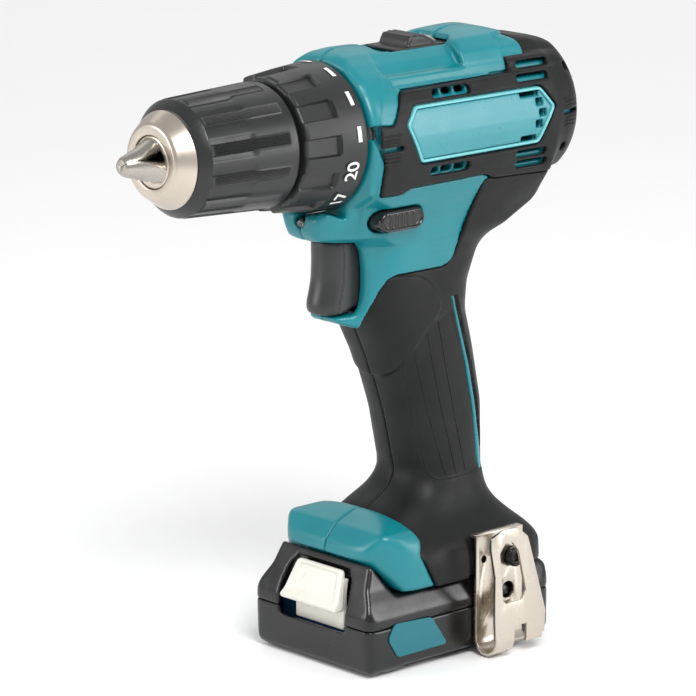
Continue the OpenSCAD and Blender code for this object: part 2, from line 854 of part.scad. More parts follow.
module switch_body() {
    color([0.12, 0.12, 0.12]) difference() {
        block([-9.2, -24, 120.8], [9.2, 9, 148.5]);
        block([-3.2, -25, 139.6], [3.2, -16, 144.4]);
    }
}

// Oblong bar through both sides of the housing, grown outwards by g
module lever_slot(g = 0) {
    side_plate(-40, 40) {
        translate([-33, 155.2]) circle(3.7 + g);
        translate([-20.5, 155.2]) circle(3.7 + g);
        translate([-33, 151.5 - g]) square([12.5, 7.4 + 2 * g]);
    }
}

module direction_lever() {
    reach = 23.4;
    color([0.05, 0.05, 0.05]) intersection() {
        lever_slot();
        block([-reach, -60, 140], [reach, 0, 170]);
    }
}

// Socket for the work lamp in the chin
module lamp_socket() {
    translate([0, -44, 154.6]) rotate([100, 0, 0]) cylinder(h = 20, r = 2.3);
}

module lamp_lens() {
    color([0.9, 0.9, 0.85]) translate([0, -44, 154.6]) rotate([100, 0, 0]) difference() {
        translate([0, 0, 4.6]) cylinder(h = 3.6, r = 1.9);
        translate([0, 0, 9.6]) sphere(2);
    }
}

module lamp_holder() {
    color([0.3, 0.3, 0.3]) translate([0, -44, 154.6]) rotate([100, 0, 0]) difference() {
        translate([0, 0, 1.2]) cylinder(h = 6.2, r = 2.25);
        translate([0, 0, 4.5]) cylinder(h = 9, r = 1.95);
    }
}

// ---------------------------------------------------------------- foot fittings

module terminal_block() {
    color([0.1, 0.1, 0.1]) difference() {
        block([-14, 12, 34.9], [14, 28, 40]);
        for (x = [-9, 0, 9]) block([x - 0.6, 11, 34], [x + 0.6, 27, 38]);
    }
}

module tool_blades() {
    color([0.8, 0.6, 0.3]) for (x = [-9, 0, 9]) block([x - 0.5, 12, 30.2], [x + 0.5, 26, 37.5]);
}

// Flat seat and screw hole for the belt clip on one side
module clip_seat(side) {
    x0 = side > 0 ? foot_half_w - 2 : -foot_half_w - 2;
    block([x0, clip_y0 - 1.4, 26], [x0 + 4, clip_y0 + 23.4, 44]);
    cross_bar(clip_hole_r, clip_y, clip_z, side > 0 ? rail_half_w : -40, side > 0 ? 40 : -rail_half_w);
}

// J-shaped clip of spring steel: a strip on the foot, a bend, and a tapered outer plate
module belt_clip() {
    outer_x = clip_inner_x + clip_t + clip_gap;
    bend_r = clip_gap / 2 + clip_t;
    bend_z = 0.8 + bend_r;
    strip_y1 = clip_y0 + 22;
    color([0.75, 0.73, 0.7]) difference() {
        union() {
            block([clip_inner_x, clip_y0, bend_z], [clip_inner_x + clip_t, strip_y1, 41.4]);
            block([clip_inner_x - 2, clip_y0, 41.4], [clip_inner_x + clip_t, strip_y1, 41.4 + clip_t]);
            intersection() {
                translate([clip_inner_x + bend_r, 0, bend_z]) rotate([-90, 0, 0])
                    difference() {
                        cylinder(h = strip_y1, r = bend_r);
                        translate([0, 0, -1]) cylinder(h = far, r = bend_r - clip_t);
                    }
                block([0, clip_y0, 0], [far, strip_y1, bend_z]);
            }
            side_plate(outer_x, outer_x + clip_t)
                polygon([[clip_y0, bend_z], [strip_y1, bend_z], [strip_y1 + 1, 6], [strip_y1 + 1.4, 14],
                    [clip_y0 + 16, 38], [clip_y0 + 14.6, 42], [clip_y0 + 10, 46], [clip_y0 + 3, 46],
                    [clip_y0 - 2.4, 44], [clip_y0 - 2.6, 40], [clip_y0 - 0.6, 30], [clip_y0 - 0.6, 14]]);
        }
        side_plate(outer_x - 1, far)
            polygon([[clip_y0 + 3, 21], [clip_y0 + 1.4, 38], [clip_y0 + 4, 41.4], [clip_y0 + 7.4, 41],
                [clip_y0 + 10.4, 37.6], [clip_y0 + 14, 23], [clip_y0 + 12, 19.8], [clip_y0 + 5, 19.6]]);
        cross_bar(2.2, clip_y, clip_z, 0, outer_x - 1);
        cross_bar(3, clip_y0 + 15, 20.6, 0, outer_x - 1);
        cross_bar(1.3, clip_y0 + 3.6, 33.6, 0, outer_x - 1);
        block([clip_inner_x + 3, clip_y0 + 8.6, 0], [far, clip_y0 + 14.4, 11]);
        block([clip_inner_x + 3, clip_y0 + 14, 0], [far, far, 4.4]);
    }
}

module clip_screw() {
    seat_x = clip_inner_x + clip_t;
    color([0.3, 0.3, 0.3]) difference() {
        union() {
            cross_bar(clip_hole_r - running, clip_y, clip_z, 22, seat_x + 0.2);
            cross_bar(3.4, clip_y, clip_z, seat_x + 0.1, seat_x + 2.4);
        }
        cross_bar(1.5, clip_y, clip_z, seat_x + 1, seat_x + 3);
    }
}

// ---------------------------------------------------------------- battery

// Plan of the battery with rounded corners, pulled in by g
module battery_plan(g = 0) {
    r = 5;
    w = foot_half_w - g - r;
    y0 = battery_front_y + g + r;
    y1 = battery_rear_y - g - r;
    translate([-w - r, y0]) square([2 * (w + r), y1 - y0]);
    translate([-w, y0 - r]) square([2 * w, y1 - y0 + 2 * r]);
    for (x = [-w, w], y = [y0, y1]) translate([x, y]) circle(r);
}

// Outer shape of the battery, with the sloping front
module battery_outer() {
    intersection() {
        linear_extrude(60) battery_plan();
        side_plate(-40, 40)
            polygon([[-42.5, 0], [37, 0], [38, 1.5], [38, battery_h], [-32.4, battery_h], [-40, 37.2],
                [-40.8, 37.9], [-41.2, 37], [-48.6, 20], [-48.6, 19], [-47.3, 5], [-46.9, 2.6],
                [-45.5, 0.7]]);
        front_plate(-60, 60)
            symmetric([[22.6, 40], [foot_half_w, 21], [foot_half_w, 6], [foot_half_w - 0.6, 3],
                [foot_half_w - 2.4, 0.9], [24, 0]]);
    }
}

// Hollow inside the battery
module battery_inner() {
    translate([0, 0, 2]) linear_extrude(battery_h - 4) battery_plan(2);
}

// Pocket for the release button
module button_pocket() {
    side_plate(-13.2, 13.2) polygon([[-60, 14], [-45.2, 14], [-45.2, 9], [-41.6, 9], [-41.6, 20],
        [-40.6, 26.5], [-40.6, 31.8], [-41.2, 35], [-60, 35]]);
    side_plate(-16.6, 16.6) polygon([[-60, 14], [-45.4, 14], [-44.9, 17], [-41.5, 30.2], [-41.3, 35.2],
        [-60, 35.2]]);
}

module battery_lower() {
    color([0.05, 0.05, 0.05]) difference() {
        intersection() {
            battery_outer();
            block([-40, -60, 0], [40, 60, 17]);
        }
        difference() {
            battery_inner();
            for (x = [-25.6, 25.6], y = [-41.2, 31]) translate([x, y, 0]) cylinder(h = 17, r = 2.6);
            block([-19, -47.4, 0], [19, -39, 40]);
        }
        for (x = [-25.6, 25.6], y = [-41.2, 31]) translate([x, y, -1]) {
            cylinder(h = 30, r = 1.4);
            cylinder(h = 5, r = 2.3);
        }
        button_pocket();
    }
}

module battery_upper() {
    color([0.06, 0.06, 0.06]) difference() {
        union() {
            intersection() {
                battery_outer();
                block([-40, -60, 17], [40, 60, 60]);
            }
            block([-rail_stem_half_w, -31, battery_h - 1], [rail_stem_half_w, 30, 30.8]);
            block([-rail_half_w, -31, 30.8], [rail_half_w, 30, 33.8]);
        }
        difference() {
            battery_inner();
            for (x = [-25.6, 25.6], y = [-41.2, 31]) translate([x, y, 0]) cylinder(h = 40, r = 2.6);
            block([-19, -47.4, 0], [19, -39, 40]);
        }
        for (x = [-25.6, 25.6], y = [-41.2, 31]) translate([x, y, 0]) cylinder(h = 22, r = 1.2);
        for (x = [-9, 0, 9]) block([x - 1, 7, 28.4], [x + 1, 40, 40]);
        button_pocket();
    }
}

module battery_cells() {
    color([0.2, 0.45, 0.7]) for (x = [-18.5, 0, 18.5])
        translate([x, -38.3, 2.2 + cell_r]) rotate([-90, 0, 0]) cylinder(h = cell_length, r = cell_r);
}

module battery_board() {
    color([0.1, 0.35, 0.2]) block([-22, -28, 21], [22, 30, 22.4]);
}

module battery_contacts() {
    color([0.8, 0.6, 0.3]) for (x = [-9, 0, 9]) block([x - 2.4, 8, 22.4], [x + 2.4, 20, 24.6]);
}

module battery_screws() {
    color([0.5, 0.5, 0.5]) for (x = [-25.6, 25.6], y = [-41.2, 31]) translate([x, y, 2]) {
        cylinder(h = 18, r = 1.15);
        cylinder(h = 2, r = 2.2);
    }
}

// Release button with its lip and the tongue that runs behind the battery's front wall
module battery_button() {
    color([0.88, 0.87, 0.83]) {
        side_plate(-12.4, 12.4) polygon([[-46.4, 20.8], [-43.9, 20.8], [-43.9, 13.4], [-42.2, 13.4],
            [-42.2, 26], [-41.4, 31.4], [-44.2, 31.4]]);
        side_plate(-14.4, 14.4) polygon([[-50.2, 22.2], [-49.4, 20.6], [-45.6, 21], [-42, 34.5],
            [-43.8, 34.5], [-48.6, 23.6]]);
    }
}

// Plain side label
module label(side) {
    x0 = side > 0 ? foot_half_w : -foot_half_w - 0.15;
    color([0.0, 0.45, 0.5]) side_plate(x0, x0 + 0.15)
        polygon([[-39.6, 13.6], [-36.4, 18.4], [-19.4, 17.8], [-12, 6.8], [-35.4, 6.4]]);
}

module label_left() {
    label(1);
}

module label_right() {
    label(-1);
}

housing_left();
housing_right();
grip_left();
grip_right();
bumper_left();
bumper_right();
badge_left();
badge_right();
housing_screws();
gear_case();
ring_gear_front();
ring_gear_shift();
carrier_front();
carrier_rear();
planet_front_1();
planet_front_2();
planet_front_3();
planet_rear_1();
planet_rear_2();
planet_rear_3();
pinion();
motor_can();
motor_end_bell();
rotor();
commutator();
brush_holders();
front_bearing();
spindle();
chuck_body();
chuck_screw();
chuck_nut();
chuck_sleeve();
nose_cap();
jaw_1();
jaw_2();
jaw_3();
torque_ring();
adjusting_nut();
clutch_spring();
speed_selector();
shift_fork();
trigger();
switch_body();
direction_lever();
lamp_lens();
lamp_holder();
terminal_block();
tool_blades();
belt_clip();
clip_screw();
battery_lower();
battery_upper();
battery_cells();
battery_board();
battery_contacts();
battery_screws();
battery_button();
label_left();
label_right();
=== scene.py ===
"""Looks of the cordless drill: moulded shells, soft grips, chuck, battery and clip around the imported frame.

Shapes are worked out in millimetres as signed distances on a grid, or as turned and swept meshes, and are
written in metres. +Z is up, the chuck points to -Y and +X is the side with the belt clip.
"""
import functools
import json
import math

import bpy
import numpy as np
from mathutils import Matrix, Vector


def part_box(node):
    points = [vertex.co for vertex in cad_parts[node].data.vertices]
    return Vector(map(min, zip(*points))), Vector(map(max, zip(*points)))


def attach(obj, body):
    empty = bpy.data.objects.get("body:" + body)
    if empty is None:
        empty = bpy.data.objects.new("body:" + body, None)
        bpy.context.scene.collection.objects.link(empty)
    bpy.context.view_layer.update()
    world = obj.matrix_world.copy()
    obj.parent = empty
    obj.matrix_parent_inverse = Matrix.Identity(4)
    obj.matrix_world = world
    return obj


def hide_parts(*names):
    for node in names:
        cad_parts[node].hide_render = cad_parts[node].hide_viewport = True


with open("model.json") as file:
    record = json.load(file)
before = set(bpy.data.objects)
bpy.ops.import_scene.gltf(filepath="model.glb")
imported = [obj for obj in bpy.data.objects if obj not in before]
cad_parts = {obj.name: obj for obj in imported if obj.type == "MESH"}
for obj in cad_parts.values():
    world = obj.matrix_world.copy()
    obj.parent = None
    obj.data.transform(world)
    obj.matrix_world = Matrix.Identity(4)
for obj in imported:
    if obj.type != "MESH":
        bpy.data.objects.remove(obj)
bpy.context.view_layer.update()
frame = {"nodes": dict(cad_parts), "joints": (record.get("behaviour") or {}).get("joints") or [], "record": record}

MM = 0.001
COARSE = 1.0
FAR = 400.0
SIDES = (("left", 1), ("right", -1))


def span(node):
    """Lowest and highest corner of a CAD node, in millimetres."""
    low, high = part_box(node)
    return np.array(low) / MM, np.array(high) / MM


def joint(name):
    return next(j for j in frame["joints"] if j["name"] == name)


AXIS_Z = joint("spindle_spin")["pos_m"][2] / MM
RING_LOW, RING_HIGH = span("torque_ring")
SLEEVE_LOW, SLEEVE_HIGH = span("chuck_sleeve")
CAP_LOW, CAP_HIGH = span("nose_cap")
BATTERY_LOW, BATTERY_HIGH = span("battery_lower")
FOOT_FLOOR = span("grip_left")[0][2]

# ---- signed distances


def overlap(*shapes):
    """The part that all of the shapes share."""
    return functools.reduce(np.maximum, shapes)


def union(*shapes):
    """All of the shapes together."""
    return functools.reduce(np.minimum, shapes)


def smooth_max(a, b, k):
    """Intersection of two shapes, its edge rounded over about k."""
    return np.maximum(a, b) + np.maximum(k - np.abs(a - b), 0) ** 2 / (4 * k)


def smooth_min(a, b, k):
    """Union of two shapes, its corner filled over about k."""
    return np.minimum(a, b) - np.maximum(k - np.abs(a - b), 0) ** 2 / (4 * k)


def rounded(points, radius, steps=5):
    """A closed outline with its corners rounded."""
    points = [np.array(p, float) for p in points]
    points = [p for i, p in enumerate(points) if np.linalg.norm(p - points[i - 1]) > 1e-6]
    out = []
    for i, b in enumerate(points):
        a, c = points[i - 1], points[(i + 1) % len(points)]
        la, lc = np.linalg.norm(a - b), np.linalg.norm(c - b)
        p = b + (a - b) * min(radius, la / 2.05) / la
        q = b + (c - b) * min(radius, lc / 2.05) / lc
        for t in np.linspace(0, 1, steps):
            out.append((1 - t) ** 2 * p + 2 * t * (1 - t) * b + t ** 2 * q)
    return out


def outline_distance(u, v, points, radius=0):
    """Signed distance to a closed outline with its corners rounded, negative inside."""
    points = rounded(points, radius) if radius else [np.array(p, float) for p in points]
    u, v = np.broadcast_arrays(u, v)
    nearest = np.full(u.shape, np.inf, np.float32)
    inside = np.zeros(u.shape, bool)
    for (u0, v0), (u1, v1) in zip(points, points[1:] + points[:1]):
        du, dv = u1 - u0, v1 - v0
        if du * du + dv * dv < 1e-9:
            continue
        t = np.clip(((u - u0) * du + (v - v0) * dv) / (du * du + dv * dv), 0, 1)
        nearest = np.minimum(nearest, (u - u0 - t * du) ** 2 + (v - v0 - t * dv) ** 2)
        if dv:
            crosses = (v >= min(v0, v1)) & (v < max(v0, v1))
            inside ^= crosses & (u < u0 + (v - v0) * du / dv)
    return np.where(inside, -1, 1) * np.sqrt(nearest)


def eased(at, knots, values, blur):
    """Values between knots, joined by straight lines and then smoothed over blur."""
    step = 0.5
    fine = np.arange(min(knots) - 4 * blur, max(knots) + 4 * blur, step)
    reach = np.arange(-3 * blur, 3 * blur + step, step)
    kernel = np.exp(-0.5 * (reach / blur) ** 2)
    line = np.interp(fine, knots, values)
    line = np.convolve(np.pad(line, len(reach) // 2, mode="edge"), kernel / kernel.sum(), "valid")
    return np.interp(at, fine, line[:len(fine)])


def mirrored(points):
    """The right half of a front or plan outline, closed with its mirror image."""
    return list(points) + [(-p[0], p[1]) for p in reversed(points)]


def carved(d, cuts, k):
    """A shape with others cut out of it, the new edges rounded over about k."""
    for cut in cuts:
        d = smooth_max(d, -cut, k)
    return d


class Field:
    """A box of sample points on which shapes are arrays of signed distance."""

    def __init__(self, low, high, step):
        self.step = step * COARSE
        self.low = np.array(low, float)
        counts = [int(math.ceil((h - l) / self.step)) + 1 for l, h in zip(low, high)]
        x, y, z = (l + self.step * np.arange(n) for l, n in zip(low, counts))
        self.x, self.y, self.z = x[:, None, None], y[None, :, None], z[None, None, :]
        self.shape = tuple(counts)

    def side(self, points, radius=0):
        """An outline [y, z] seen from the side, through the whole width."""
        return outline_distance(self.y, self.z, points, radius)

    def front(self, points, radius=0):
        """The right half [x, z] of a symmetric outline seen from the front."""
        return outline_distance(self.x, self.z, mirrored(points), radius)

    def plan(self, points, radius=0):
        """The right half [x, y] of a symmetric outline seen from above."""
        return outline_distance(self.x, self.y, mirrored(points), radius)

    def turned(self, points, radius=0):
        """An outline [radius, y] turned about the spindle axis."""
        r = np.sqrt(self.x ** 2 + (self.z - AXIS_Z) ** 2)
        step = self.step / 2
        radii = np.arange(0, r.max() + 3 * step, step)[None, :]
        table = outline_distance(radii, self.y[0, :, :], points, radius)
        k = (r / step).astype(int)
        part = r / step - k
        row = np.arange(self.shape[1])[None, :, None]
        return table[row, k] * (1 - part) + table[row, k + 1] * part

    def box(self, low, high, radius=0.0):
        """A block, its edges rounded."""
        centre = [(a + b) / 2 for a, b in zip(low, high)]
        half = [(b - a) / 2 - radius for a, b in zip(low, high)]
        over = [np.abs(g - c) - h for g, c, h in zip((self.x, self.y, self.z), centre, half)]
        outside = np.sqrt(sum(np.maximum(o, 0) ** 2 for o in over))
        return outside + np.minimum(overlap(*over), 0) - radius

    def bar(self, y, z, radius):
        """A round bar along X."""
        return np.sqrt((self.y - y) ** 2 + (self.z - z) ** 2) - radius

    def post(self, x, y, radius):
        """A round bar along Z."""
        return np.sqrt((self.x - x) ** 2 + (self.y - y) ** 2) - radius


def half_field(side, low, high, step):
    """Sample points over one half of the drill: the box from low to high, or its mirror image."""
    x0, x1 = sorted((side * low[0], side * high[0]))
    return Field((x0, *low[1:]), (x1, *high[1:]), step)


# ---- meshes


def new_object(name, vertices, faces):
    """A smooth-shaded object from an array of points in metres and a list or array of faces."""
    mesh = bpy.data.meshes.new(name)
    if isinstance(faces, np.ndarray):
        mesh.vertices.add(len(vertices))
        mesh.vertices.foreach_set("co", np.asarray(vertices, np.float32).ravel())
        mesh.loops.add(faces.size)
        mesh.loops.foreach_set("vertex_index", faces.astype(np.int32).ravel())
        mesh.polygons.add(len(faces))
        mesh.polygons.foreach_set("loop_start", np.arange(0, faces.size, faces.shape[1], dtype=np.int32))
        mesh.update(calc_edges=True)
        mesh.validate()
    else:
        mesh.from_pydata([tuple(v) for v in vertices], [], faces)
    mesh.shade_smooth()
    obj = bpy.data.objects.new(name, mesh)
    bpy.context.scene.collection.objects.link(obj)
    return obj


def baked(obj):
    """Applies an object's modifiers to its mesh."""
    graph = bpy.context.evaluated_depsgraph_get()
    mesh = bpy.data.meshes.new_from_object(obj.evaluated_get(graph))
    old = obj.data
    obj.modifiers.clear()
    obj.data = mesh
    bpy.data.meshes.remove(old)
    return obj


def skin(field, d):
    """The surface where d is zero: one vertex in each cell that it crosses, one quad on each edge."""
    d = np.array(np.broadcast_to(d, field.shape), np.float32)
    for axis in range(3):
        ends = [slice(None)] * 3
        for end in (0, -1):
            ends[axis] = end
            d[tuple(ends)] = np.maximum(d[tuple(ends)], 0.01)
    inside = d < 0
    corners = [(i, j, k) for i in (0, 1) for j in (0, 1) for k in (0, 1)]
    cut = [inside[tuple(slice(o, n - 1 + o) for o, n in zip(c, d.shape))] for c in corners]
    count = sum(c.astype(np.uint8) for c in cut)
    cells = np.argwhere((count > 0) & (count < 8))
    number = np.full(count.shape, -1, np.int32)
    number[tuple(cells.T)] = np.arange(len(cells))
    values = [d[tuple((cells + c).T)].astype(float) for c in corners]
    total, hits = np.zeros((len(cells), 3)), np.zeros(len(cells))
    for a, corner in enumerate(corners):
        for axis, stride in enumerate((4, 2, 1)):
            if corner[axis]:
                continue
            va, vb = values[a], values[a + stride]
            crossed = (va < 0) != (vb < 0)
            point = np.tile(np.array(corner, float), (len(cells), 1))
            point[:, axis] += np.where(crossed, va / np.where(crossed, va - vb, 1), 0)
            total += point * crossed[:, None]
            hits += crossed
    vertices = field.low + field.step * (cells + total / hits[:, None])
    quads = []
    for axis in range(3):
        e1, e2 = (axis + 1) % 3, (axis + 2) % 3
        low = [slice(1, -1)] * 3
        high = [slice(1, -1)] * 3
        low[axis], high[axis] = slice(0, -1), slice(1, None)
        a, b = inside[tuple(low)], inside[tuple(high)]
        for start, order in ((a & ~b, (0, 1, 2, 3)), (b & ~a, (3, 2, 1, 0))):
            edge = np.argwhere(start)
            edge[:, [e1, e2]] += 1
            ring = []
            for s, t in ((-1, -1), (0, -1), (0, 0), (-1, 0)):
                cell = edge.copy()
                cell[:, e1] += s
                cell[:, e2] += t
                ring.append(number[tuple(cell.T)])
            quads.append(np.stack([ring[k] for k in order], axis=1))
    return vertices, np.concatenate(quads)


def moulded(name, field, d, keep=0.35):
    """A piece from a field of distances, thinned to the share keep of its faces."""
    vertices, quads = skin(field, d)
    obj = new_object(name, vertices * MM, quads)
    if keep < 1:
        thin = obj.modifiers.new("thin", "DECIMATE")
        thin.ratio = keep
        baked(obj)
        obj.data.shade_smooth()
    return obj


def softened(name, node, width, angle=35, segments=2):
    """A copy of a CAD node with its sharp edges broken."""
    mesh = frame["nodes"][node].data.copy()
    obj = bpy.data.objects.new(name, mesh)
    bpy.context.scene.collection.objects.link(obj)
    mesh.materials.clear()
    weld = obj.modifiers.new("weld", "WELD")
    weld.merge_threshold = 0.00002
    flat = obj.modifiers.new("flat", "DECIMATE")
    flat.decimate_type = "DISSOLVE"
    flat.angle_limit = math.radians(1.0)
    bevel = obj.modifiers.new("bevel", "BEVEL")
    bevel.width = width * MM
    bevel.segments = segments
    bevel.limit_method = "ANGLE"
    bevel.angle_limit = math.radians(angle)
    baked(obj)
    obj.data.shade_smooth()
    obj.data.set_sharp_from_angle(angle=math.radians(50))
    return obj


def lathe(name, outer, inner, columns, shape=None):
    """A closed ring about the spindle axis from the outlines [radius, y] of its outside and its bore.
    shape(radius, y) gives the outside's radius at each of the columns, which are angles in degrees."""
    rows = [shape(r, y) if shape else r for r, y in outer] + [r for r, y in inner]
    n, m = len(rows), len(columns)
    r = np.array([np.broadcast_to(row, m) for row in rows])
    y = np.array([y for _, y in [*outer, *inner]])[:, None] + np.zeros(m)
    angles = np.radians(columns)
    points = np.stack([r * np.cos(angles), y, AXIS_Z + r * np.sin(angles)], axis=-1).reshape(-1, 3)
    i, j = np.meshgrid(np.arange(n), np.arange(m), indexing="ij")
    i2, j2 = (i + 1) % n, (j + 1) % m
    quads = np.stack([i * m + j, i2 * m + j, i2 * m + j2, i * m + j2], axis=-1).reshape(-1, 4)
    return new_object(name, points * MM, quads)


def turned_piece(name, profile, radius=0.4, columns=128):
    """A plain ring about the spindle axis from an outline [radius, y], its corners rounded."""
    return lathe(name, rounded(profile, radius), [], np.arange(0, 360, 360 / columns))


def finish(obj, body, slot, *nodes, look=None):
    """Puts a piece on its body, hides the CAD nodes it stands for and gives it its look, which is
    its record slot's own if none is named."""
    obj.data.materials.clear()
    obj.data.materials.append(LOOKS[look or slot])
    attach(obj, body)
    if nodes:
        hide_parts(*nodes)


# ---- materials


class Look:
    """A node-based material: a base colour that varies a little, fine grain, and edges that catch wear."""

    def __init__(self, name, colour, rough, metallic=0.0):
        self.material = bpy.data.materials.new(name)
        self.material.use_nodes = True
        self.nodes = self.material.node_tree.nodes
        self.links = self.material.node_tree.links
        self.shader = self.nodes["Principled BSDF"]
        self.shader.inputs["Base Color"].default_value = (*colour, 1)
        self.shader.inputs["Metallic"].default_value = metallic
        self.shader.inputs["Roughness"].default_value = rough
        self.colour, self.rough = colour, rough
        self.height = None

    def node(self, kind, data_type=None, **inputs):
        """A new shader node with some of its inputs set."""
        node = self.nodes.new("ShaderNode" + kind)
        if data_type:
            node.data_type = data_type
        for name, value in inputs.items():
            node.inputs[name.replace("_", " ")].default_value = value
        return node

    def coordinates(self, stretch=(1, 1, 1)):
        mapping = self.node("Mapping", Scale=stretch)
        self.links.new(self.node("TexCoord").outputs["Object"], mapping.inputs["Vector"])
        return mapping.outputs["Vector"]

    def noise(self, size, detail=3.0, stretch=(1, 1, 1)):
        """Noise whose cells are size millimetres across."""
        node = self.node("TexNoise", Scale=1 / (size * MM), Detail=detail)
        self.links.new(self.coordinates(stretch), node.inputs["Vector"])
        return node.outputs["Fac"]

    def spread(self, value, low, high):
        """value, from about 0.3 to 0.7, mapped to low to high."""
        node = self.node("MapRange", From_Min=0.3, From_Max=0.7, To_Min=low, To_Max=high)
        self.links.new(value, node.inputs["Value"])
        return node.outputs["Result"]

    def mottle(self, size, amount, stretch=(1, 1, 1)):
        """Lets the colour drift by the share amount either way."""
        darker = [c * (1 - amount) for c in self.colour]
        lighter = [min(1, c * (1 + amount) + 0.002) for c in self.colour]
        mix = self.node("Mix", "RGBA", A=(*darker, 1), B=(*lighter, 1))
        self.links.new(self.spread(self.noise(size, stretch=stretch), 0, 1), mix.inputs["Factor"])
        self.links.new(mix.outputs["Result"], self.shader.inputs["Base Color"])
        self.base = mix.outputs["Result"]
        return self

    def worn(self, colour, amount):
        """Blends a lighter colour in along the sharpest edges."""
        ramp = self.node("MapRange", From_Min=0.56, From_Max=0.68, To_Max=amount)
        self.links.new(self.node("NewGeometry").outputs["Pointiness"], ramp.inputs["Value"])
        mix = self.node("Mix", "RGBA", B=(*colour, 1))
        self.links.new(ramp.outputs["Result"], mix.inputs["Factor"])
        self.links.new(self.base, mix.inputs["A"])
        self.links.new(mix.outputs["Result"], self.shader.inputs["Base Color"])
        return self

    def patchy(self, size, amount, stretch=(1, 1, 1)):
        """Lets the roughness drift by amount either way."""
        value = self.spread(self.noise(size, stretch=stretch), self.rough - amount, self.rough + amount)
        self.links.new(value, self.shader.inputs["Roughness"])
        return self

    def grain(self, size, depth, stretch=(1, 1, 1), detail=2.0):
        """Adds a fine relief, depth in millimetres."""
        bump = self.node("Bump", Distance=depth * MM)
        self.links.new(self.noise(size, detail, stretch), bump.inputs["Height"])
        if self.height:
            self.links.new(self.height, bump.inputs["Normal"])
        self.height = bump.outputs["Normal"]
        self.links.new(self.height, self.shader.inputs["Normal"])
        return self

    def set(self, **values):
        for name, value in values.items():
            self.shader.inputs[name.replace("_", " ")].default_value = value
        return self


def plastic(name, colour, rough, grain=0.35, depth=0.02):
    """Injection-moulded plastic with a spark-eroded grain."""
    look = Look(name, colour, rough).mottle(18, 0.05).patchy(9, 0.05).grain(grain, depth)
    return look.worn([min(1, c * 1.25 + 0.01) for c in colour], 0.5).material


def rubber(name, colour):
    """Soft overmould: matt, slightly dusty, with a leathery micro grain."""
    look = Look(name, colour, 0.46).mottle(14, 0.12).patchy(6, 0.07)
    look.grain(0.5, 0.03).grain(0.16, 0.012)
    look.set(Specular_IOR_Level=0.2, Sheen_Weight=0.015, Sheen_Roughness=0.4)
    return look.worn([c * 1.5 for c in colour], 0.6).material


def metal(name, colour, rough, stretch=(1, 1, 1), depth=0.004, size=0.25):
    """Bare or plated metal with fine tool marks along the unstretched directions."""
    look = Look(name, colour, rough, 1.0).mottle(9, 0.03, stretch).patchy(4, 0.03, stretch)
    return look.grain(size, depth, stretch).worn([min(1, c * 1.15) for c in colour], 0.5).material


LOOKS = {
    "housing_teal": plastic("housing_teal", (0.0, 0.172, 0.202), 0.33),
    "soft_grip": rubber("soft_grip", (0.009, 0.0093, 0.0095)),
    # The badge panel is painted a little lighter than housing_teal: a painted reflection of the light from above
    # on the glossy badge.
    "badge_panel": plastic("badge_panel", (0.03, 0.22, 0.255), 0.3, 0.2, 0.006),
    # The badge rim is painted a much lighter teal: a painted highlight along its edges.
    "badge_rim_painted_highlight": plastic("badge_rim_painted_highlight", (0.12, 0.42, 0.45), 0.25, 0.2, 0.004),
    "zinc_steel": metal("zinc_steel", (0.55, 0.55, 0.53), 0.35),
    "die_cast": metal("die_cast", (0.5, 0.51, 0.52), 0.5, depth=0.02, size=0.6),
    "sintered_steel": metal("sintered_steel", (0.32, 0.3, 0.27), 0.5, depth=0.012, size=0.3),
    "natural_plastic": plastic("natural_plastic", (0.62, 0.6, 0.52), 0.4),
    "lamination_steel": metal("lamination_steel", (0.16, 0.13, 0.11), 0.42, (1, 12, 1), 0.03, 0.8),
    "copper": metal("copper", (0.72, 0.3, 0.16), 0.28, (1, 8, 1)),
    "brass": metal("brass", (0.7, 0.48, 0.18), 0.28),
    "bearing_steel": metal("bearing_steel", (0.6, 0.6, 0.6), 0.22, (1, 10, 1)),
    "chuck_steel": metal("chuck_steel", (0.36, 0.335, 0.3), 0.34, (1, 14, 1), 0.004, 0.6),
    "black_steel": metal("black_steel", (0.035, 0.035, 0.037), 0.34, depth=0.01),
    "chuck_plastic": plastic("chuck_plastic", (0.01, 0.0105, 0.011), 0.34, 0.3, 0.012),
    "nickel": metal("nickel", (0.56, 0.5, 0.43), 0.3, depth=0.0004, size=0.5),
    "clip_nickel": metal("clip_nickel", (0.6, 0.545, 0.47), 0.26, depth=0.0005, size=0.5),
    "jaw_steel": metal("jaw_steel", (0.4, 0.375, 0.335), 0.28, depth=0.0005, size=0.5),
    "ring_plastic": plastic("ring_plastic", (0.011, 0.0115, 0.012), 0.4, 0.3, 0.02),
    "black_plastic": plastic("black_plastic", (0.014, 0.014, 0.014), 0.42),
    "trigger_plastic": plastic("trigger_plastic", (0.018, 0.0185, 0.019), 0.38, 0.3, 0.02),
    "gloss_black": plastic("gloss_black", (0.01, 0.01, 0.01), 0.14, 0.4, 0.003),
    "battery_black": plastic("battery_black", (0.004, 0.0042, 0.0045), 0.24, 0.5, 0.006),
    "cell_wrap": plastic("cell_wrap", (0.03, 0.12, 0.3), 0.25, 0.6, 0.004),
    "board_green": plastic("board_green", (0.01, 0.1, 0.04), 0.3, 0.8, 0.01),
    "button_white": plastic("button_white", (0.7, 0.68, 0.61), 0.3, 0.3, 0.008),
    "label_teal": plastic("label_teal", (0.0, 0.13, 0.165), 0.2, 0.5, 0.003),
    "marking_white": plastic("marking_white", (0.72, 0.72, 0.7), 0.4, 0.3, 0.003),
    "pointer_grey": plastic("pointer_grey", (0.3, 0.3, 0.29), 0.4),
}
lamp = Look("lamp_clear", (0.95, 0.95, 0.92), 0.06).mottle(2, 0.02)
lamp.set(Transmission_Weight=0.85, IOR=1.49)
LOOKS["lamp_clear"] = lamp.material


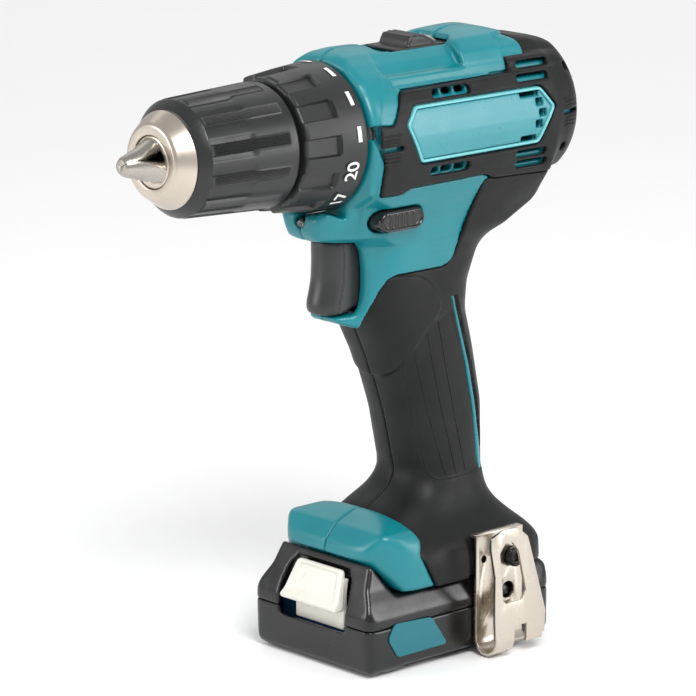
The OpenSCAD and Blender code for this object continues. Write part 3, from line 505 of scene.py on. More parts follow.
def dress_frame():
    """Gives each CAD node the look of its record slot."""
    slots = {s["node"]: s["material_slot"] for s in frame["record"]["subparts"]}
    for name, node in frame["nodes"].items():
        node.data.materials.clear()
        node.data.materials.append(LOOKS[slots[name]])
        node.data.shade_smooth()
        node.data.set_sharp_from_angle(angle=math.radians(32))


# ---- housing

# Front view of the housing, right half, from the crown of the hood down to the handle: [x, z]
SECTION = [(0, 211.9), (4, 211.4), (8.6, 209.8), (17.2, 203.2), (19, 202.4), (19.7, 199.8), (22, 198.8),
           (24.1, 194.8), (25.6, 190.6), (26.5, 187), (26.9, 183.6), (26.95, 180.4), (26.6, 176), (25.9, 171),
           (24.8, 166), (23.4, 161.8), (21.8, 157.8), (20.4, 153.8), (19.3, 149.6), (18.5, 144.6), (18, 139),
           (17.5, 127), (17.3, 118), (17, 90), (0, 90)]
# Side view of the housing above the handle: [y, z]
BODY = [(-43.6, 156), (-50.5, 159), (-53, 156), (-52.8, 151), (-49.8, 147.4), (-36.2, 147.2), (-33.8, 144),
        (-32.9, 138), (-32.9, 130), (-33.8, 124.6), (-36.2, 121.5), (-42.2, 121.4), (-43.1, 120.5),
        (-41.6, 119.2), (-36, 117.3), (-31, 116.4), (13, 116.4), (15, 128), (19, 138), (27, 146.5), (38, 153),
        (48, 160), (60, 168), (60, 202.6), (53, 205.4), (47, 206.9), (38, 208.2), (28, 209.8), (5, 211),
        (-24, 211.6), (-36, 212.6), (-41, 210), (-43.6, 206)]
# Hump in the hood behind the selector, from the side [y, z] and from the front [x, z]
HUMP = [(5, 190), (5, 210.2), (9, 212.2), (14.5, 213.9), (20, 214.2), (28, 212.4), (36, 209.4), (37, 190)]
HUMP_FRONT = [(0, 214.2), (5, 213.8), (12, 211.5), (16.5, 207.6), (18.6, 203.4), (18.6, 190), (0, 190)]
# Side view of the part of the housing that stands a step proud, around the soft band
PLATEAU = [(80, 203.4), (-33.3, 203), (-39.5, 189.7), (-39.9, 100), (80, 100)]
# Plan of the guard under the trigger and of the nose over it: [x, y]
GUARD_PLAN = [(0, -44), (4, -43.6), (7.4, -42), (9.2, -37.5), (12, -33), (16, -28.4), (20, -20), (30, -10),
              (30, 70), (0, 70)]
NOSE_PLAN = [(0, -53.6), (4, -53.2), (7.4, -51.2), (9.8, -47.6), (11.8, -42.8), (14.2, -38), (17.6, -33),
             (22, -27.4), (30, -18), (30, 70), (0, 70)]
# Side view of the teal above the soft grip
TEAL = [(-60, 114), (-35.4, 114), (-35.2, 117), (-34, 120.4), (-31.6, 125.6), (-29, 131.2), (-27.2, 134),
        (-24.4, 135.3), (-2.7, 135.3), (1.3, 137.5), (9, 164), (13, 165.6), (60, 164.4), (60, 230),
        (-60, 230)]
# Side view of the soft band and rear bumper, and the plan of the crown of the hood that stays bare
BAND = [(-27.5, 198.6), (24, 199.2), (24.3, 230), (80, 230), (80, 162.6), (37, 163.8), (12.6, 164.6),
        (9.4, 166.6), (-25, 166.2), (-29, 164.4), (-38.6, 164.6), (-38.2, 176), (-42.8, 184.6), (-43.2, 189),
        (-34.4, 188.4)]
CROWN = [(0, 38), (7, 34), (12, 27), (14.5, 10), (0, 10)]
# Side view of the badge panel
BADGE = [(-28.8, 187.7), (-23.7, 193.9), (34.6, 193.9), (40.4, 186.6), (32.6, 174.4), (-22.2, 174.2)]
# Rear end of the housing, turned about the spindle axis: [radius, y]
DOME = [(0, -70), (90, -70), (90, 18), (27.6, 42), (26.6, 50), (23, 55.4), (14, 57.2), (0, 57.4)]
# Vents and the slits between the ribs: [front y, rear y, z], and short vents at the rear end: [y, z]
LONG_VENTS = [(-14.8, 2.9, 196.4), (-17.7, 0.6, 170.9)]
REAR_VENTS = [(27.7, 42.6, 201), (24.8, 39.6, 197), (21.9, 36.5, 171.6), (22.2, 37.2, 168)]
END_VENTS = [(51, 198), (46.8, 171.4)]
SLITS = [(-40.4, -30.6, 180.7), (44.4, 53.6, 183.6)]
# Straight oval bar inside the soft grip
CORE_Y, CORE_Z, CORE_LEAN = 3.6, 84, math.tan(math.radians(10.5))
CORE_FLAT, CORE_RADIUS, CORE_ENDS = 2.2, 12.6, (40, 128)
# Housing screws: [y, z, half width of the housing there]
SCREWS = [(-41.3, 152.4, 15.4), (13.4, 150.6, 19), (-9.6, 112, 17), (-10, 38.6, 30), (33.6, 156.4, 20)]


def hood(f):
    """Motor housing with its nose and trigger guard, before the hump and the rear dome."""
    body = smooth_max(f.side(BODY, 1.6), f.front(SECTION, 0.6), 1.2)
    share = np.clip((f.z - 145) / 4, 0, 1)
    chin = (1 - share) * f.plan(GUARD_PLAN, 3) + share * f.plan(NOSE_PLAN, 4)
    body = smooth_max(body, chin - 0.3 * np.maximum(f.z - 148, 0) - np.maximum(f.z - 160, 0), 1.6)
    step = 1.1 * np.clip((np.abs(f.x) - 13) / 3, 0, 1)
    return smooth_min(body + step, smooth_max(body, f.side(PLATEAU, 1.5), 0.5), 0.3)


def envelope(f, grow=0.0):
    """Outside of the teal housing, grown outwards by grow."""
    hump = smooth_max(f.side(HUMP, 3), f.front(HUMP_FRONT, 1), 1.2)
    return smooth_max(smooth_min(hood(f), hump, 0.8), f.turned(DOME, 5) + 1.0, 2.0) - grow


def band_area(f):
    """Side view of the soft band and rear bumper, without the bare crown."""
    crown = np.maximum(f.plan(CROWN, 3), 205 - f.z)
    return np.maximum(f.side(BAND, 1.5), -crown)


def soft_surface(f):
    """Outside of the soft band and rear bumper."""
    return smooth_max(hood(f) - 1.0, f.turned(DOME, 5), 2.0)


def collar(f):
    """Round collar behind the torque ring."""
    r = RING_HIGH[2] - AXIS_Z
    front = RING_HIGH[1] + 0.8
    return f.turned([(0, front), (r + 0.4, front), (r + 1.8, front + 2.4), (r + 1.9, -30), (0, -30)], 1.6)


def hollow(f):
    """Space inside the shells for the gearbox, motor, switch and battery rail."""
    drum = f.turned([(0, -80), (25.9, -80), (25.9, -43.6), (20.9, -43.6), (20.9, -42), (23.4, -42),
                     (23.4, -10), (18.4, -10), (18.4, -7), (23.4, -7), (23.4, 30), (18.4, 30), (18.4, 33),
                     (22, 36), (19.5, 46), (14, 52), (0, 52)])
    pocket = f.box((-9.6, -29, 120.4), (9.6, 9.4, 149), 1)
    mouth = f.box((-7.9, -60, 121.6), (7.9, -28, 147.8), 1)
    terminals = f.box((-19, -14, 33), (19, 28.5, 41.4), 1)
    stem = f.box((-18.35, -60, 20), (18.35, 30, 31), 0.3)
    rail = f.box((-20.85, -60, 30.2), (20.85, 30, 34.4), 0.3)
    return union(drum, pocket, mouth, terminals, stem, rail)


def oblong(f, y0, y1, z, half, x0=14):
    """An oblong slot with round ends through the side walls."""
    across = np.maximum(np.maximum(y0 + half - f.y, f.y - (y1 - half)), 0)
    return np.maximum(np.sqrt(across ** 2 + (f.z - z) ** 2) - half, x0 - np.abs(f.x))


def soft_vents(f):
    """Openings in the soft band over the vents."""
    vents = [oblong(f, y0, y1, z, 1.5) for y0, y1, z in LONG_VENTS]
    vents += [oblong(f, y0, y1, z, 1.25) for y0, y1, z in REAR_VENTS]
    vents += [oblong(f, y - 1.5, y + 1.5, z, 1.5) for y, z in END_VENTS]
    return union(*vents)


def teal_vents(f):
    """Openings in the shells: three cells in each long slot and the upper half of each rear slot."""
    vents = [oblong(f, y0, y1, z + 0.7, 0.7) for y0, y1, z in REAR_VENTS]
    for y0, y1, z in LONG_VENTS:
        cell = (y1 - y0) / 3
        vents += [oblong(f, y0 + cell * i + 0.6, y0 + cell * (i + 1) - 0.6, z, 1.1) for i in range(3)]
    return union(*vents)


def badge_cuts(f):
    """Small windows around the badge's rear end."""
    small = ((33.2, 188.6), (34.4, 184.9), (32.6, 181.2))
    windows = [(y - 1.7, y + 1.7, z - 1.3, z + 1.3) for y, z in small]
    windows += [(24.5, 33.5, 190.6, 192.8), (24, 31.5, 175.6, 177.6)]
    boxes = [f.box((-40, y0, z0), (40, y1, z1), 0.5) for y0, y1, z0, z1 in windows]
    return overlap(union(*boxes), 18 - np.abs(f.x))


def lever_hole(f, grow):
    """Oblong hole for the direction lever, grown outwards by grow."""
    along = np.maximum(np.maximum(-33 - f.y, f.y + 20.5), 0)
    return np.sqrt(along ** 2 + (f.z - 155.2) ** 2) - 3.7 - grow


def visor(f):
    """Cap of the foot over the front of the battery, with its lip, its crease and its side tails."""
    side = f.side([(-30.6, 27.6), (-17, 27.6), (-20, 33), (-23.5, 39.5), (-22, 44), (-24.4, 51.2),
                   (-27, 51.6), (-36.6, 47.8), (-41.4, 42.6), (-42.6, 38.6), (-40.4, 38.2)], 0.9)
    front = f.front([(0, 51.8), (10, 51.2), (19, 49.6), (25.4, 47.2), (28.4, 43), (29.8, 38), (30, 27),
                     (30, 20), (0, 20)], 2)
    plan = f.plan([(0, -42.6), (14, -42.6), (20, -41), (25, -36), (29, -29), (30, -24), (30, 40), (0, 40)], 3)
    return smooth_max(smooth_max(side, front, 1.6), plan, 2.0)


def handle_core(f, grow=0.0):
    """Straight oval bar inside the soft grip, grown outwards by grow."""
    centre = CORE_Y - (f.z - CORE_Z) * CORE_LEAN
    along = np.maximum(np.abs(f.y - centre) - CORE_FLAT, 0)
    oval = np.sqrt(f.x ** 2 + along ** 2) - CORE_RADIUS - grow
    return overlap(oval, CORE_ENDS[0] - f.z, f.z - CORE_ENDS[1])


def screw_pockets(f, side):
    """Counterbores for the housing screws, in the half that carries their heads."""
    if side > 0:
        return FAR
    return union(*[overlap(f.bar(y, z, 3.0), f.x + w - 4) for y, z, w in SCREWS])


def clip_seats(f):
    """Flat seats for the belt clip on both sides of the foot, each with its screw hole."""
    seat = overlap(f.box((-40, -1.4, 26), (40, 23.4, 44), 0.4), 28 - np.abs(f.x))
    return union(seat, overlap(f.bar(17, 32.3, 2.0), 20.5 - np.abs(f.x)))


def housing(label, side):
    """One clamshell, from the hood down to the foot."""
    f = half_field(side, (-1, -55, 25.5), (31.5, 59, 215), 0.55)
    outer = smooth_min(overlap(envelope(f), f.side(TEAL, 3)), collar(f), 1.6)
    band = overlap(band_area(f) - 0.2, -(envelope(f) + 1.3))
    outer = smooth_max(outer, -band, 0.4)
    head = f.box((-12, -21, 112), (12, 11.4, 130), 2)
    foot = union(f.box((-27.4, -25, FOOT_FLOOR), (27.4, 33.6, 36), 1), f.box((-20, -18, 34), (20, 27, 44), 3))
    d = union(outer, handle_core(f), head, foot, smooth_max(visor(f), FOOT_FLOOR - f.z, 0.3))
    deck = union(f.box((-8.7, -25, 208.8), (8.7, 8.4, 222), 2.4),
                 f.box((-8.6, -20, 208.3), (8.6, 14, 210), 0.2))
    pin_slot = f.box((-3.2, -12, 200), (3.2, 4, 215), 0.6)
    lamp_z = 154.9 - (f.y + 50.6) * 0.17
    lamp_bore = overlap(np.sqrt(f.x ** 2 + (f.z - lamp_z) ** 2) - 2.6, f.y + 46)
    cuts = [hollow(f), teal_vents(f), lever_hole(f, 0.5), deck, clip_seats(f), screw_pockets(f, side),
            pin_slot, badge_cuts(f), lamp_bore]
    d = carved(d, cuts, 0.7)
    d = smooth_max(d, 0.1 - side * f.x, 0.5)
    finish(moulded(f"housing_{label}_shell", f, d, 0.3), "drill", "housing_teal", f"housing_{label}")


def bumper(label, side):
    """Soft band and rear bumper, with slits and vent openings."""
    f = half_field(side, (-1, -45, 161), (30, 58.5, 213), 0.45)
    d = smooth_max(smooth_max(soft_surface(f), band_area(f), 0.8), -(envelope(f) + 1.2), 0.3)
    badge_room = f.side(BADGE, 1.5) - 0.35
    slits = [oblong(f, y0, y1, z, 0.75) for y0, y1, z in SLITS]
    d = carved(d, [badge_room, soft_vents(f), *slits], 0.6)
    d = smooth_max(d, -collar(f) - 0.3, 0.5)
    d = smooth_max(d, 0.1 - side * f.x, 0.5)
    finish(moulded(f"bumper_{label}_soft", f, d, 0.3), "drill", "soft_grip", f"bumper_{label}")


def surface_x(shape, y, z):
    """Distance from the mid-plane to the outside of a shape at one place in its side view."""
    f = Field((4, y, z), (33, y, z), 0.1 / COARSE)
    d = np.broadcast_to(shape(f), f.shape)[:, 0, 0]
    k = int(np.max(np.nonzero(d < 0)[0], initial=0))
    part = d[k] / (d[k] - d[k + 1]) if k + 1 < len(d) and d[k + 1] > d[k] else 0
    return float(f.x[k, 0, 0] + f.step * part)


def draped(points, count):
    """Points evenly spaced along a line in the side view."""
    points = np.array(points, float)
    reach = np.concatenate([[0], np.cumsum(np.linalg.norm(np.diff(points, axis=0), axis=1))])
    at = np.linspace(0, reach[-1], count)
    return np.stack([np.interp(at, reach, points[:, 0]), np.interp(at, reach, points[:, 1])], axis=1)


def beads(name, shape, lines, width, height, side, count=14, sides=10):
    """Raised lines on the side of a shape: half-sunk tubes with tapered ends, as one mesh."""
    vertices, faces = [], []
    for line in lines:
        path = draped(line, count)
        path = np.array([(surface_x(shape, y, z), y, z) for y, z in path])
        for i, p in enumerate(path):
            along = path[min(i + 1, count - 1)] - path[max(i - 1, 0)]
            along /= np.linalg.norm(along)
            across = np.cross((1, 0, 0), along)
            taper = 0.15 if i in (0, count - 1) else 1
            for k in range(sides):
                a = 2 * math.pi * k / sides
                out = np.array((height * math.cos(a), 0, 0))
                q = p + taper * (out + across * width / 2 * math.sin(a))
                vertices.append((side * q[0] * MM, q[1] * MM, q[2] * MM))
        first = len(vertices) - count * sides
        for i in range(count - 1):
            for k in range(sides):
                a, b = first + i * sides + k, first + i * sides + (k + 1) % sides
                quad = (a, b, b + sides, a + sides)
                faces.append(quad if side > 0 else quad[::-1])
        last = first + (count - 1) * sides
        faces.append(tuple(range(first, first + sides))[::-side])
        faces.append(tuple(range(last, last + sides))[::side])
    return new_object(name, vertices, faces)


# ---- soft grip

# Level slices of the grip, from the foot up: [z, front y, rear y, half width, squareness]
GRIP = np.array([(FOOT_FLOOR, -30, 37.6, 30, 7), (36, -30, 37.2, 30, 7), (40, -27.6, 35, 28.8, 5.4),
                 (44, -25, 31.4, 25, 4), (48, -24.4, 28.4, 21, 3.2), (51, -22, 26.8, 19, 2.9),
                 (54, -15.6, 25.6, 17.8, 2.7), (58, -11.2, 24.6, 17, 2.6), (62, -9.6, 24, 16.5, 2.5),
                 (84, -15, 24.2, 16.3, 2.5), (104, -22, 20.2, 16.7, 2.5), (118, -28.6, 15.6, 17.2, 2.8),
                 (128, -32.8, 15.8, 17.6, 3.1), (140, -32.8, 20.6, 18.4, 3.1), (152, -16, 36.6, 19.8, 3),
                 (166, 6, 52, 24.4, 3)])
# Raised thumb pad and sunk panel on each side of the handle: [y, z]
PAD = [(-44, 142), (-27, 134.9), (-14, 133.6), (-8.4, 129.6), (-3.9, 122.6), (-5.2, 118.4), (-12, 113.4),
       (-15.4, 107), (-17.6, 101.4), (-23, 92), (-40, 100)]
PANEL = [(-16.8, 101.6), (-14.4, 106.4), (-11.4, 112), (-4.4, 117.2), (1.2, 120), (10.2, 97), (15.2, 74),
         (16.8, 62.4), (15.4, 60), (-3, 59.4), (-5.8, 63.4)]
# Teal line behind the panel: [y, z, half width]
STRIPE = np.array([(2.2, 124, 0.5), (6.2, 112, 0.75), (10.6, 98.6, 0.85), (13.6, 86, 0.9), (15.6, 75, 0.95),
                   (17.2, 67, 1.5), (18.2, 60, 1.2)])
STRIPE_CHANNEL = [(y - w - 0.1, z) for y, z, w in STRIPE] + [(y + w + 1.6, z) for y, z, w in STRIPE[::-1]]


def grip_form(f):
    """Handle and foot as a loft of squared ovals, with its pad and panel."""
    y0, y1, w, power = (eased(f.z, GRIP[:, 0], GRIP[:, k], 1.6) for k in (1, 2, 3, 4))
    u = np.abs(f.x) / w
    v = np.abs(f.y - (y0 + y1) / 2) / ((y1 - y0) / 2)
    n = np.maximum(u ** power + v ** power, 1e-6) ** (1 / power)
    slope = np.sqrt(((u / n) ** (power - 1) / w) ** 2 + ((v / n) ** (power - 1) * 2 / (y1 - y0)) ** 2)
    d = (n - 1) / np.maximum(slope, 1e-4)
    pad = np.clip(0.5 - f.side(PAD, 3) / 1.2, 0, 1)
    panel = np.clip(0.5 - f.side(PANEL, 3) / 1.0, 0, 1)
    return d - 1.0 * pad * pad * (3 - 2 * pad) + 0.4 * panel


def handle_skin(f):
    """The grip's outside, ended below the soft band."""
    return np.maximum(grip_form(f), f.z - 168)


def grip(label, side):
    """Soft overmould of one half, from the foot to the rear of the motor housing."""
    f = half_field(side, (-1, -40, 26.5), (31, 57, 172), 0.55)
    rear = smooth_max(envelope(f), 146 - f.z, 4)
    d = smooth_min(handle_skin(f), rear, 5)
    d = smooth_max(d, f.side([(-60, 20), (60, 20), (60, 140), (24, 140), (27, 146.5), (38, 153), (48, 160),
                              (60, 168), (60, 180), (-60, 180)], 4), 3)
    d = smooth_max(d, FOOT_FLOOR - f.z, 0.8)
    channel = np.maximum(f.side(STRIPE_CHANNEL), -(handle_skin(f) + 1.1))
    tail = [(-60, 20), (-16.6, 20), (-16.6, 27.6), (-19.6, 33), (-23.1, 39.5), (-21.6, 44), (-24.2, 51.8),
            (-60, 66)]
    cuts = [f.side(TEAL, 3) - 0.2, f.side(tail, 0.8), channel,
            handle_core(f, 0.1), f.box((-12.1, -21.1, 112), (12.1, 11.5, 130), 2), hollow(f), clip_seats(f),
            screw_pockets(f, side), f.box((-27.5, -25.1, 20), (27.5, 33.7, 36.1), 1),
            f.box((-20.1, -18.1, 34), (20.1, 27.1, 44.1), 3)]
    d = carved(d, cuts, 0.6)
    d = smooth_max(d, 0.15 - band_area(f), 0.3)
    d = smooth_max(d, 0.1 - side * f.x, 0.5)
    finish(moulded(f"grip_{label}_soft", f, d, 0.35), "drill", "soft_grip", f"grip_{label}")
    lines = [[(-16.6, 102), (-5.9, 64), (-5, 60.8), (-2.8, 59.6), (9, 59.8), (15, 60.4)],
             [(-13.8, 107), (0.6, 60.4)], [(-9.4, 113), (5, 60.4)], [(-4.6, 116.6), (9.4, 60.6)]]
    seams = beads(f"grip_{label}_lines", handle_skin, lines, 0.42, 0.2, side, 30)
    finish(seams, "drill", "soft_grip")


def stripe(label, side):
    """Teal core that shows through the channel in the grip."""
    f = half_field(side, (7, -1, 57), (19, 22, 127), 0.4)
    band = [(y - w, z) for y, z, w in STRIPE] + [(y + w, z) for y, z, w in STRIPE[::-1]]
    d = smooth_max(smooth_max(handle_skin(f) + 0.1, f.side(band), 0.4), -(handle_skin(f) + 1.8), 0.2)
    finish(moulded(f"grip_{label}_stripe", f, d, 0.6), "drill", "housing_teal")


# ---- badge and ribs


def badge(label, side):
    """Plain badge panel in a rim painted lighter, a painted highlight; the panel's teal is also painted a little
    lighter, a painted reflection.
    """
    f = half_field(side, (18, -31, 172), (29, 42.5, 196), 0.35)
    shell = envelope(f)
    outline = f.side(BADGE, 1.5)
    inner = smooth_max(outline + 1.5, shell - 0.35, 0.4)
    rim = smooth_max(smooth_max(outline + 0.25, -(outline + 1.35), 0.3), shell - 0.85, 0.5)
    # The rim's lighter look is a painted highlight and the panel's lighter tint a painted reflection.
    for name, d, look in (("panel", inner, "badge_panel"), ("rim", rim, "badge_rim_painted_highlight")):
        d = smooth_max(d, -(shell + 1.1), 0.3)
        if name == "panel":
            d = smooth_max(d, -badge_cuts(f), 0.4)
        piece = moulded(f"badge_{label}_{name}", f, d, 0.5)
        nodes = [f"badge_{label}"] if name == "panel" else []
        finish(piece, "drill", "badge_panel", *nodes, look=look)


def ribs(label, side):
    """Fine raised ribs on the soft band, beside its two slits."""
    lines = []
    for y0, y1, z, lean0, lean1, first in ((-40.2, -31.8, 180.7, 0.25, 0.3, 1.9),
                                           (45.4, 52.6, 183.6, -0.4, -0.5, 2.0)):
        for k in range(3):
            for rise in (first + 1.35 * k, -first - 1.35 * k):
                lines.append([(y0 + lean0 * k, z + rise), (y1 + lean1 * k, z + rise)])
    piece = beads(f"bumper_{label}_ribs", soft_surface, lines, 0.8, 0.38, side, 8)
    finish(piece, "drill", "soft_grip")


# ---- controls


def trigger():
    """Trigger with a rounded front, hollowed for the finger, and a step along each side."""
    f = Field((-8.6, -49.5, 120.5), (8.6, -28.5, 149), 0.35)
    front = [(121, -46.4), (124.6, -47.4), (128, -46.4), (133, -45.2), (139, -44.9), (148, -45.1)]
    front_y = eased(f.z, [p[0] for p in front], [p[1] for p in front], 1.2)
    depth = f.y - front_y
    round_front = np.sqrt((np.maximum(6 - depth, 0) / 6) ** 2 + (f.x / 6.9) ** 2) - 1
    nose = np.where(depth < 6, round_front * 6, np.abs(f.x) - 7.4)
    side = f.side([(-50, 147.2), (-30.4, 147.2), (-30.4, 125), (-40, 121.9), (-50, 121.9)], 2.5)
    d = smooth_max(nose, side, 1.6)
    finish(moulded("trigger_shell", f, d, 0.6), "trigger", "trigger_plastic", "trigger")


def direction_lever():
    """Glossy slide through the housing, with a sunk grip pattern on each end."""
    low, high = span("direction_lever")
    f = Field(low - 0.8, high + 0.8, 0.36)
    d = smooth_max(lever_hole(f, 0), np.abs(f.x) - high[0], 1.6)
    well = smooth_max(lever_hole(f, -1.3), high[0] - 0.7 - np.abs(f.x), 0.3)
    d = smooth_max(d, -well, 0.3)
    for y in (-32, -29.4, -26.8, -24.2, -21.6):
        bar = f.box((-high[0], y - 0.55, 153), (high[0], y + 0.55, 157.4), 0.3)
        d = smooth_min(d, np.maximum(bar, np.abs(f.x) - high[0] + 0.2), 0.3)
    finish(moulded("direction_lever_body", f, d, 0.6), "direction_lever", "gloss_black", "direction_lever")


def speed_selector():
    """Selector slide: a thin plate with a ridged thumb piece and a pale pointer."""
    low, high = span("speed_selector")
    f = Field(low - 0.8, high + 0.8, 0.36)
    plate = f.box((low[0], low[1], 208.6), (high[0], high[1], 209.7), 0.4)
    knob = f.side([(-10.8, 208.8), (-10.2, 211.2), (-8.9, 213.4), (-5, high[2]), (-2.2, 213.2), (1.7, 211.2),
                   (3.4, 208.8)], 0.8)
    knob = smooth_max(knob, np.abs(f.x) - 7.4, 1.6)
    for y in (-7.6, -5.2, -2.8):
        groove = np.sqrt((f.y - y) ** 2 + (f.z - high[2] - 0.3) ** 2) - 0.9
        knob = smooth_max(knob, -groove, 0.4)
    pin = f.box((-2, -8, low[2]), (2, -4, 209), 0.3)
    d = smooth_min(np.minimum(plate, pin), knob, 0.6)
    finish(moulded("speed_selector_body", f, d, 0.6), "speed_selector", "black_plastic", "speed_selector")
    g = Field((-4, 1.5, 208.8), (4, 8.6, 212.6), 0.3)
    wedge = g.side([(2.2, 209.3), (2.4, 211.4), (4.4, 211.7), (7.8, 209.3)], 0.5)
    piece = moulded("speed_selector_pointer", g, smooth_max(wedge, np.abs(g.x) - 3, 0.6), 0.7)
    finish(piece, "speed_selector", "natural_plastic", look="pointer_grey")


# ---- chuck and torque ring

RIBS = 12
RIB_TURN = 360 / RIBS


def chuck_sleeve():
    """Sleeve with grooved ribs between scalloped flats."""
    front, rear = SLEEVE_LOW[1], SLEEVE_HIGH[1]
    half_rib, half_flat, grooves = 4.7, 10.1, 6
    local = np.concatenate([np.linspace(-half_rib, half_rib, 37),
                            np.linspace(half_rib, RIB_TURN - half_rib, 17)[1:-1]])
    columns = np.concatenate([local + RIB_TURN * (k + 0.5) for k in range(RIBS)])
    turn = columns % RIB_TURN - RIB_TURN / 2
    groove = 0.5 - 0.5 * np.cos(math.pi * (turn + half_rib) / half_rib * grooves)
    stations = np.concatenate([np.arange(front + 4, front + 9, 0.5), np.arange(front + 9, rear - 4, 0.7),
                               np.arange(rear - 4, rear - 0.9, 0.3)])
    outer = [(15.4, front), (16.3, front + 0.1), (16.9, front + 0.45), (19.3, front + 3.2),
             (19.55, front + 3.6)]
    outer += [(np.interp(y, [front + 3.2, rear - 1], [19.5, 21.15]), y) for y in stations]
    outer += [(21.0, rear - 0.6), (20.7, rear - 0.15), (20.2, rear)]
    inner = [(18.4, rear), (17.9, rear - 0.5), (17.9, -98), (14.6, -99.5), (14.6, front + 0.5), (14.9, front)]

    def shape(r, y):
        start = np.interp(y, [front + 2.6, front + 4], [0, 1])
        end = np.interp(y, [rear - 20, rear - 12], [1, 0])
        share = start * end * end * (3 - 2 * end)
        plane = (r * math.cos(math.radians(10.4)) - 0.25) / np.cos(np.radians(turn))
        flat = np.where(np.abs(turn) > half_flat, r, np.minimum(r, plane + (1 - share) * 1.6))
        cut = 0.32 * groove * np.interp(y, [front + 4.2, front + 4.8, rear - 4.2, rear - 3.6], [0, 1, 1, 0])
        edge = 0.22 * np.interp(y, [front + 4, front + 4.6, rear - 4, rear - 3.4], [0, 1, 1, 0])
        return np.where(np.abs(turn) <= half_rib + 0.01, r + edge - cut, flat)

    piece = lathe("chuck_sleeve_grip", outer, inner, columns, shape)
    piece.data.set_sharp_from_angle(angle=math.radians(40))
    finish(piece, "chuck_sleeve", "chuck_plastic", "chuck_sleeve")


def nose_cap():
    """Bright cap on the sleeve, and the ring of the chuck body inside it."""
    front, rear = CAP_LOW[1], -110.5
    profile = [(8.9, front), (12, front), (12.9, front + 0.7), (16.35, rear - 0.15), (16.2, rear + 0.05),
               (14.5, rear), (14.5, CAP_HIGH[1]), (14.1, CAP_HIGH[1]), (13.95, rear), (12.4, front + 1.2),
               (8.9, front + 1.2)]
    finish(turned_piece("nose_cap_shell", profile, 0.45, 160), "chuck_sleeve", "nickel", "nose_cap")
    ring = [(6.3, front + 0.5), (6.9, front + 0.25), (8.1, front + 0.25), (8.7, front + 0.6),
            (8.7, front + 1.4), (6.3, front + 1.4)]
    finish(turned_piece("nose_ring", ring, 0.25), "chuck", "nickel")


def torque_ring():
    """Clutch ring with twelve finger notches."""
    front, rear = RING_LOW[1], RING_HIGH[1]
    half, wall, lead = 7.2, 1.1, 3
    local = np.concatenate([np.linspace(-half - wall, -half, 5), np.linspace(-half, half, 10)[1:-1],
                            np.linspace(half, half + wall, 5),
                            np.linspace(half + wall, RIB_TURN - half - wall, 10)[1:-1]])
    columns = np.concatenate([local + lead + RIB_TURN * k for k in range(RIBS)])
    turn = (columns - lead + RIB_TURN / 2) % RIB_TURN - RIB_TURN / 2
    share = np.interp(np.abs(turn), [half, half + wall], [1, 0])
    stations = np.concatenate([np.linspace(front + 0.9, front + 13, 28),
                               np.linspace(front + 13, front + 14.2, 7)[1:],
                               np.linspace(front + 14.2, rear - 0.5, 11)[1:]])
    outer = [(21.9, front), (22.5, front + 0.15), (22.9, front + 0.5)]
    outer += [(np.interp(y, [front + 0.9, front + 11, rear - 2, rear], [23.1, 24.2, 25.2, 25.2]), y)
              for y in stations]
    outer += [(25.1, rear - 0.2), (24.8, rear)]
    inner = [(21, rear), (21, front + 2.4), (14, front + 2.4), (14, front)]

    def shape(r, y):
        depth = np.interp(y, [front - 1, front + 2, front + 13.2, front + 14.0], [0.9, 1.15, 1.75, 0])
        floor = (r * math.cos(math.radians(half)) - depth * 0.8) / np.cos(np.radians(turn))
        return r + (np.minimum(r, floor) - r) * share * (depth > 0)

    piece = lathe("torque_ring_grip", outer, inner, columns, shape)
    piece.data.set_sharp_from_angle(angle=math.radians(32))
    finish(piece, "torque_ring", "ring_plastic", "torque_ring")


def wrapped(mesh, angle, y, radius):
    """Bends a flat mesh in its XY plane onto the ring: X runs round the ring, Y towards the chuck."""
    for v in mesh.vertices:
        a = math.radians(angle) + v.co.x / radius
        r = radius + v.co.z
        v.co = (r * math.cos(a) * MM, (y - v.co.y) * MM, (AXIS_Z + r * math.sin(a)) * MM)


def figure(text, size):
    """A number as a flat mesh, in millimetres, centred on its origin."""
    curve = bpy.data.curves.new("figure", "FONT")
    curve.body = text
    curve.size = size
    curve.align_x, curve.align_y = "CENTER", "CENTER"
    curve.extrude = 0.03
    curve.offset = 0.012 * size
    source = bpy.data.objects.new("figure", curve)
    bpy.context.scene.collection.objects.link(source)
    mesh = bpy.data.meshes.new_from_object(source.evaluated_get(bpy.context.evaluated_depsgraph_get()))
    bpy.data.objects.remove(source)
    return mesh


def dash(length, width):
    """A short bar as a flat mesh, in millimetres, with enough columns to be bent."""
    xs = np.linspace(-length / 2, length / 2, 7)
    n = len(xs)
    points = [(x, s * width / 2, t) for t in (-0.03, 0.03) for s in (-1, 1) for x in xs]
    faces = [(0, 2 * n, 3 * n, n), (n - 1, 2 * n - 1, 4 * n - 1, 3 * n - 1)]
    for i in range(n - 1):
        for a, b in ((2 * n, 3 * n), (n, 0), (0, 2 * n), (3 * n, n)):
            faces.append((a + i, a + i + 1, b + i + 1, b + i))
    mesh = bpy.data.meshes.new("dash")
    mesh.from_pydata(points, [], faces)
    return mesh


def ring_marks():
    """Setting numbers and dashes around the rear of the torque ring."""
    radius, first_angle, step = 25.25, 9.5, 28.4
    marks = [(k, dash(5.2, 1.6), -48) for k in range(6)]
    marks += [(-k, figure(text, 7.2), -50.2) for k, text in enumerate(("20", "17", "13", "9", "5", "1"), 1)]
    points, faces = [], []
    for k, mesh, y in marks:
        wrapped(mesh, first_angle + step * k, y, radius)
        faces += [tuple(len(points) + i for i in p.vertices) for p in mesh.polygons]
        points += [tuple(v.co) for v in mesh.vertices]
        bpy.data.meshes.remove(mesh)
    piece = new_object("torque_ring_marks", points, faces)
    piece.data.shade_flat()
    finish(piece, "torque_ring", "natural_plastic", look="marking_white")


# ---- battery


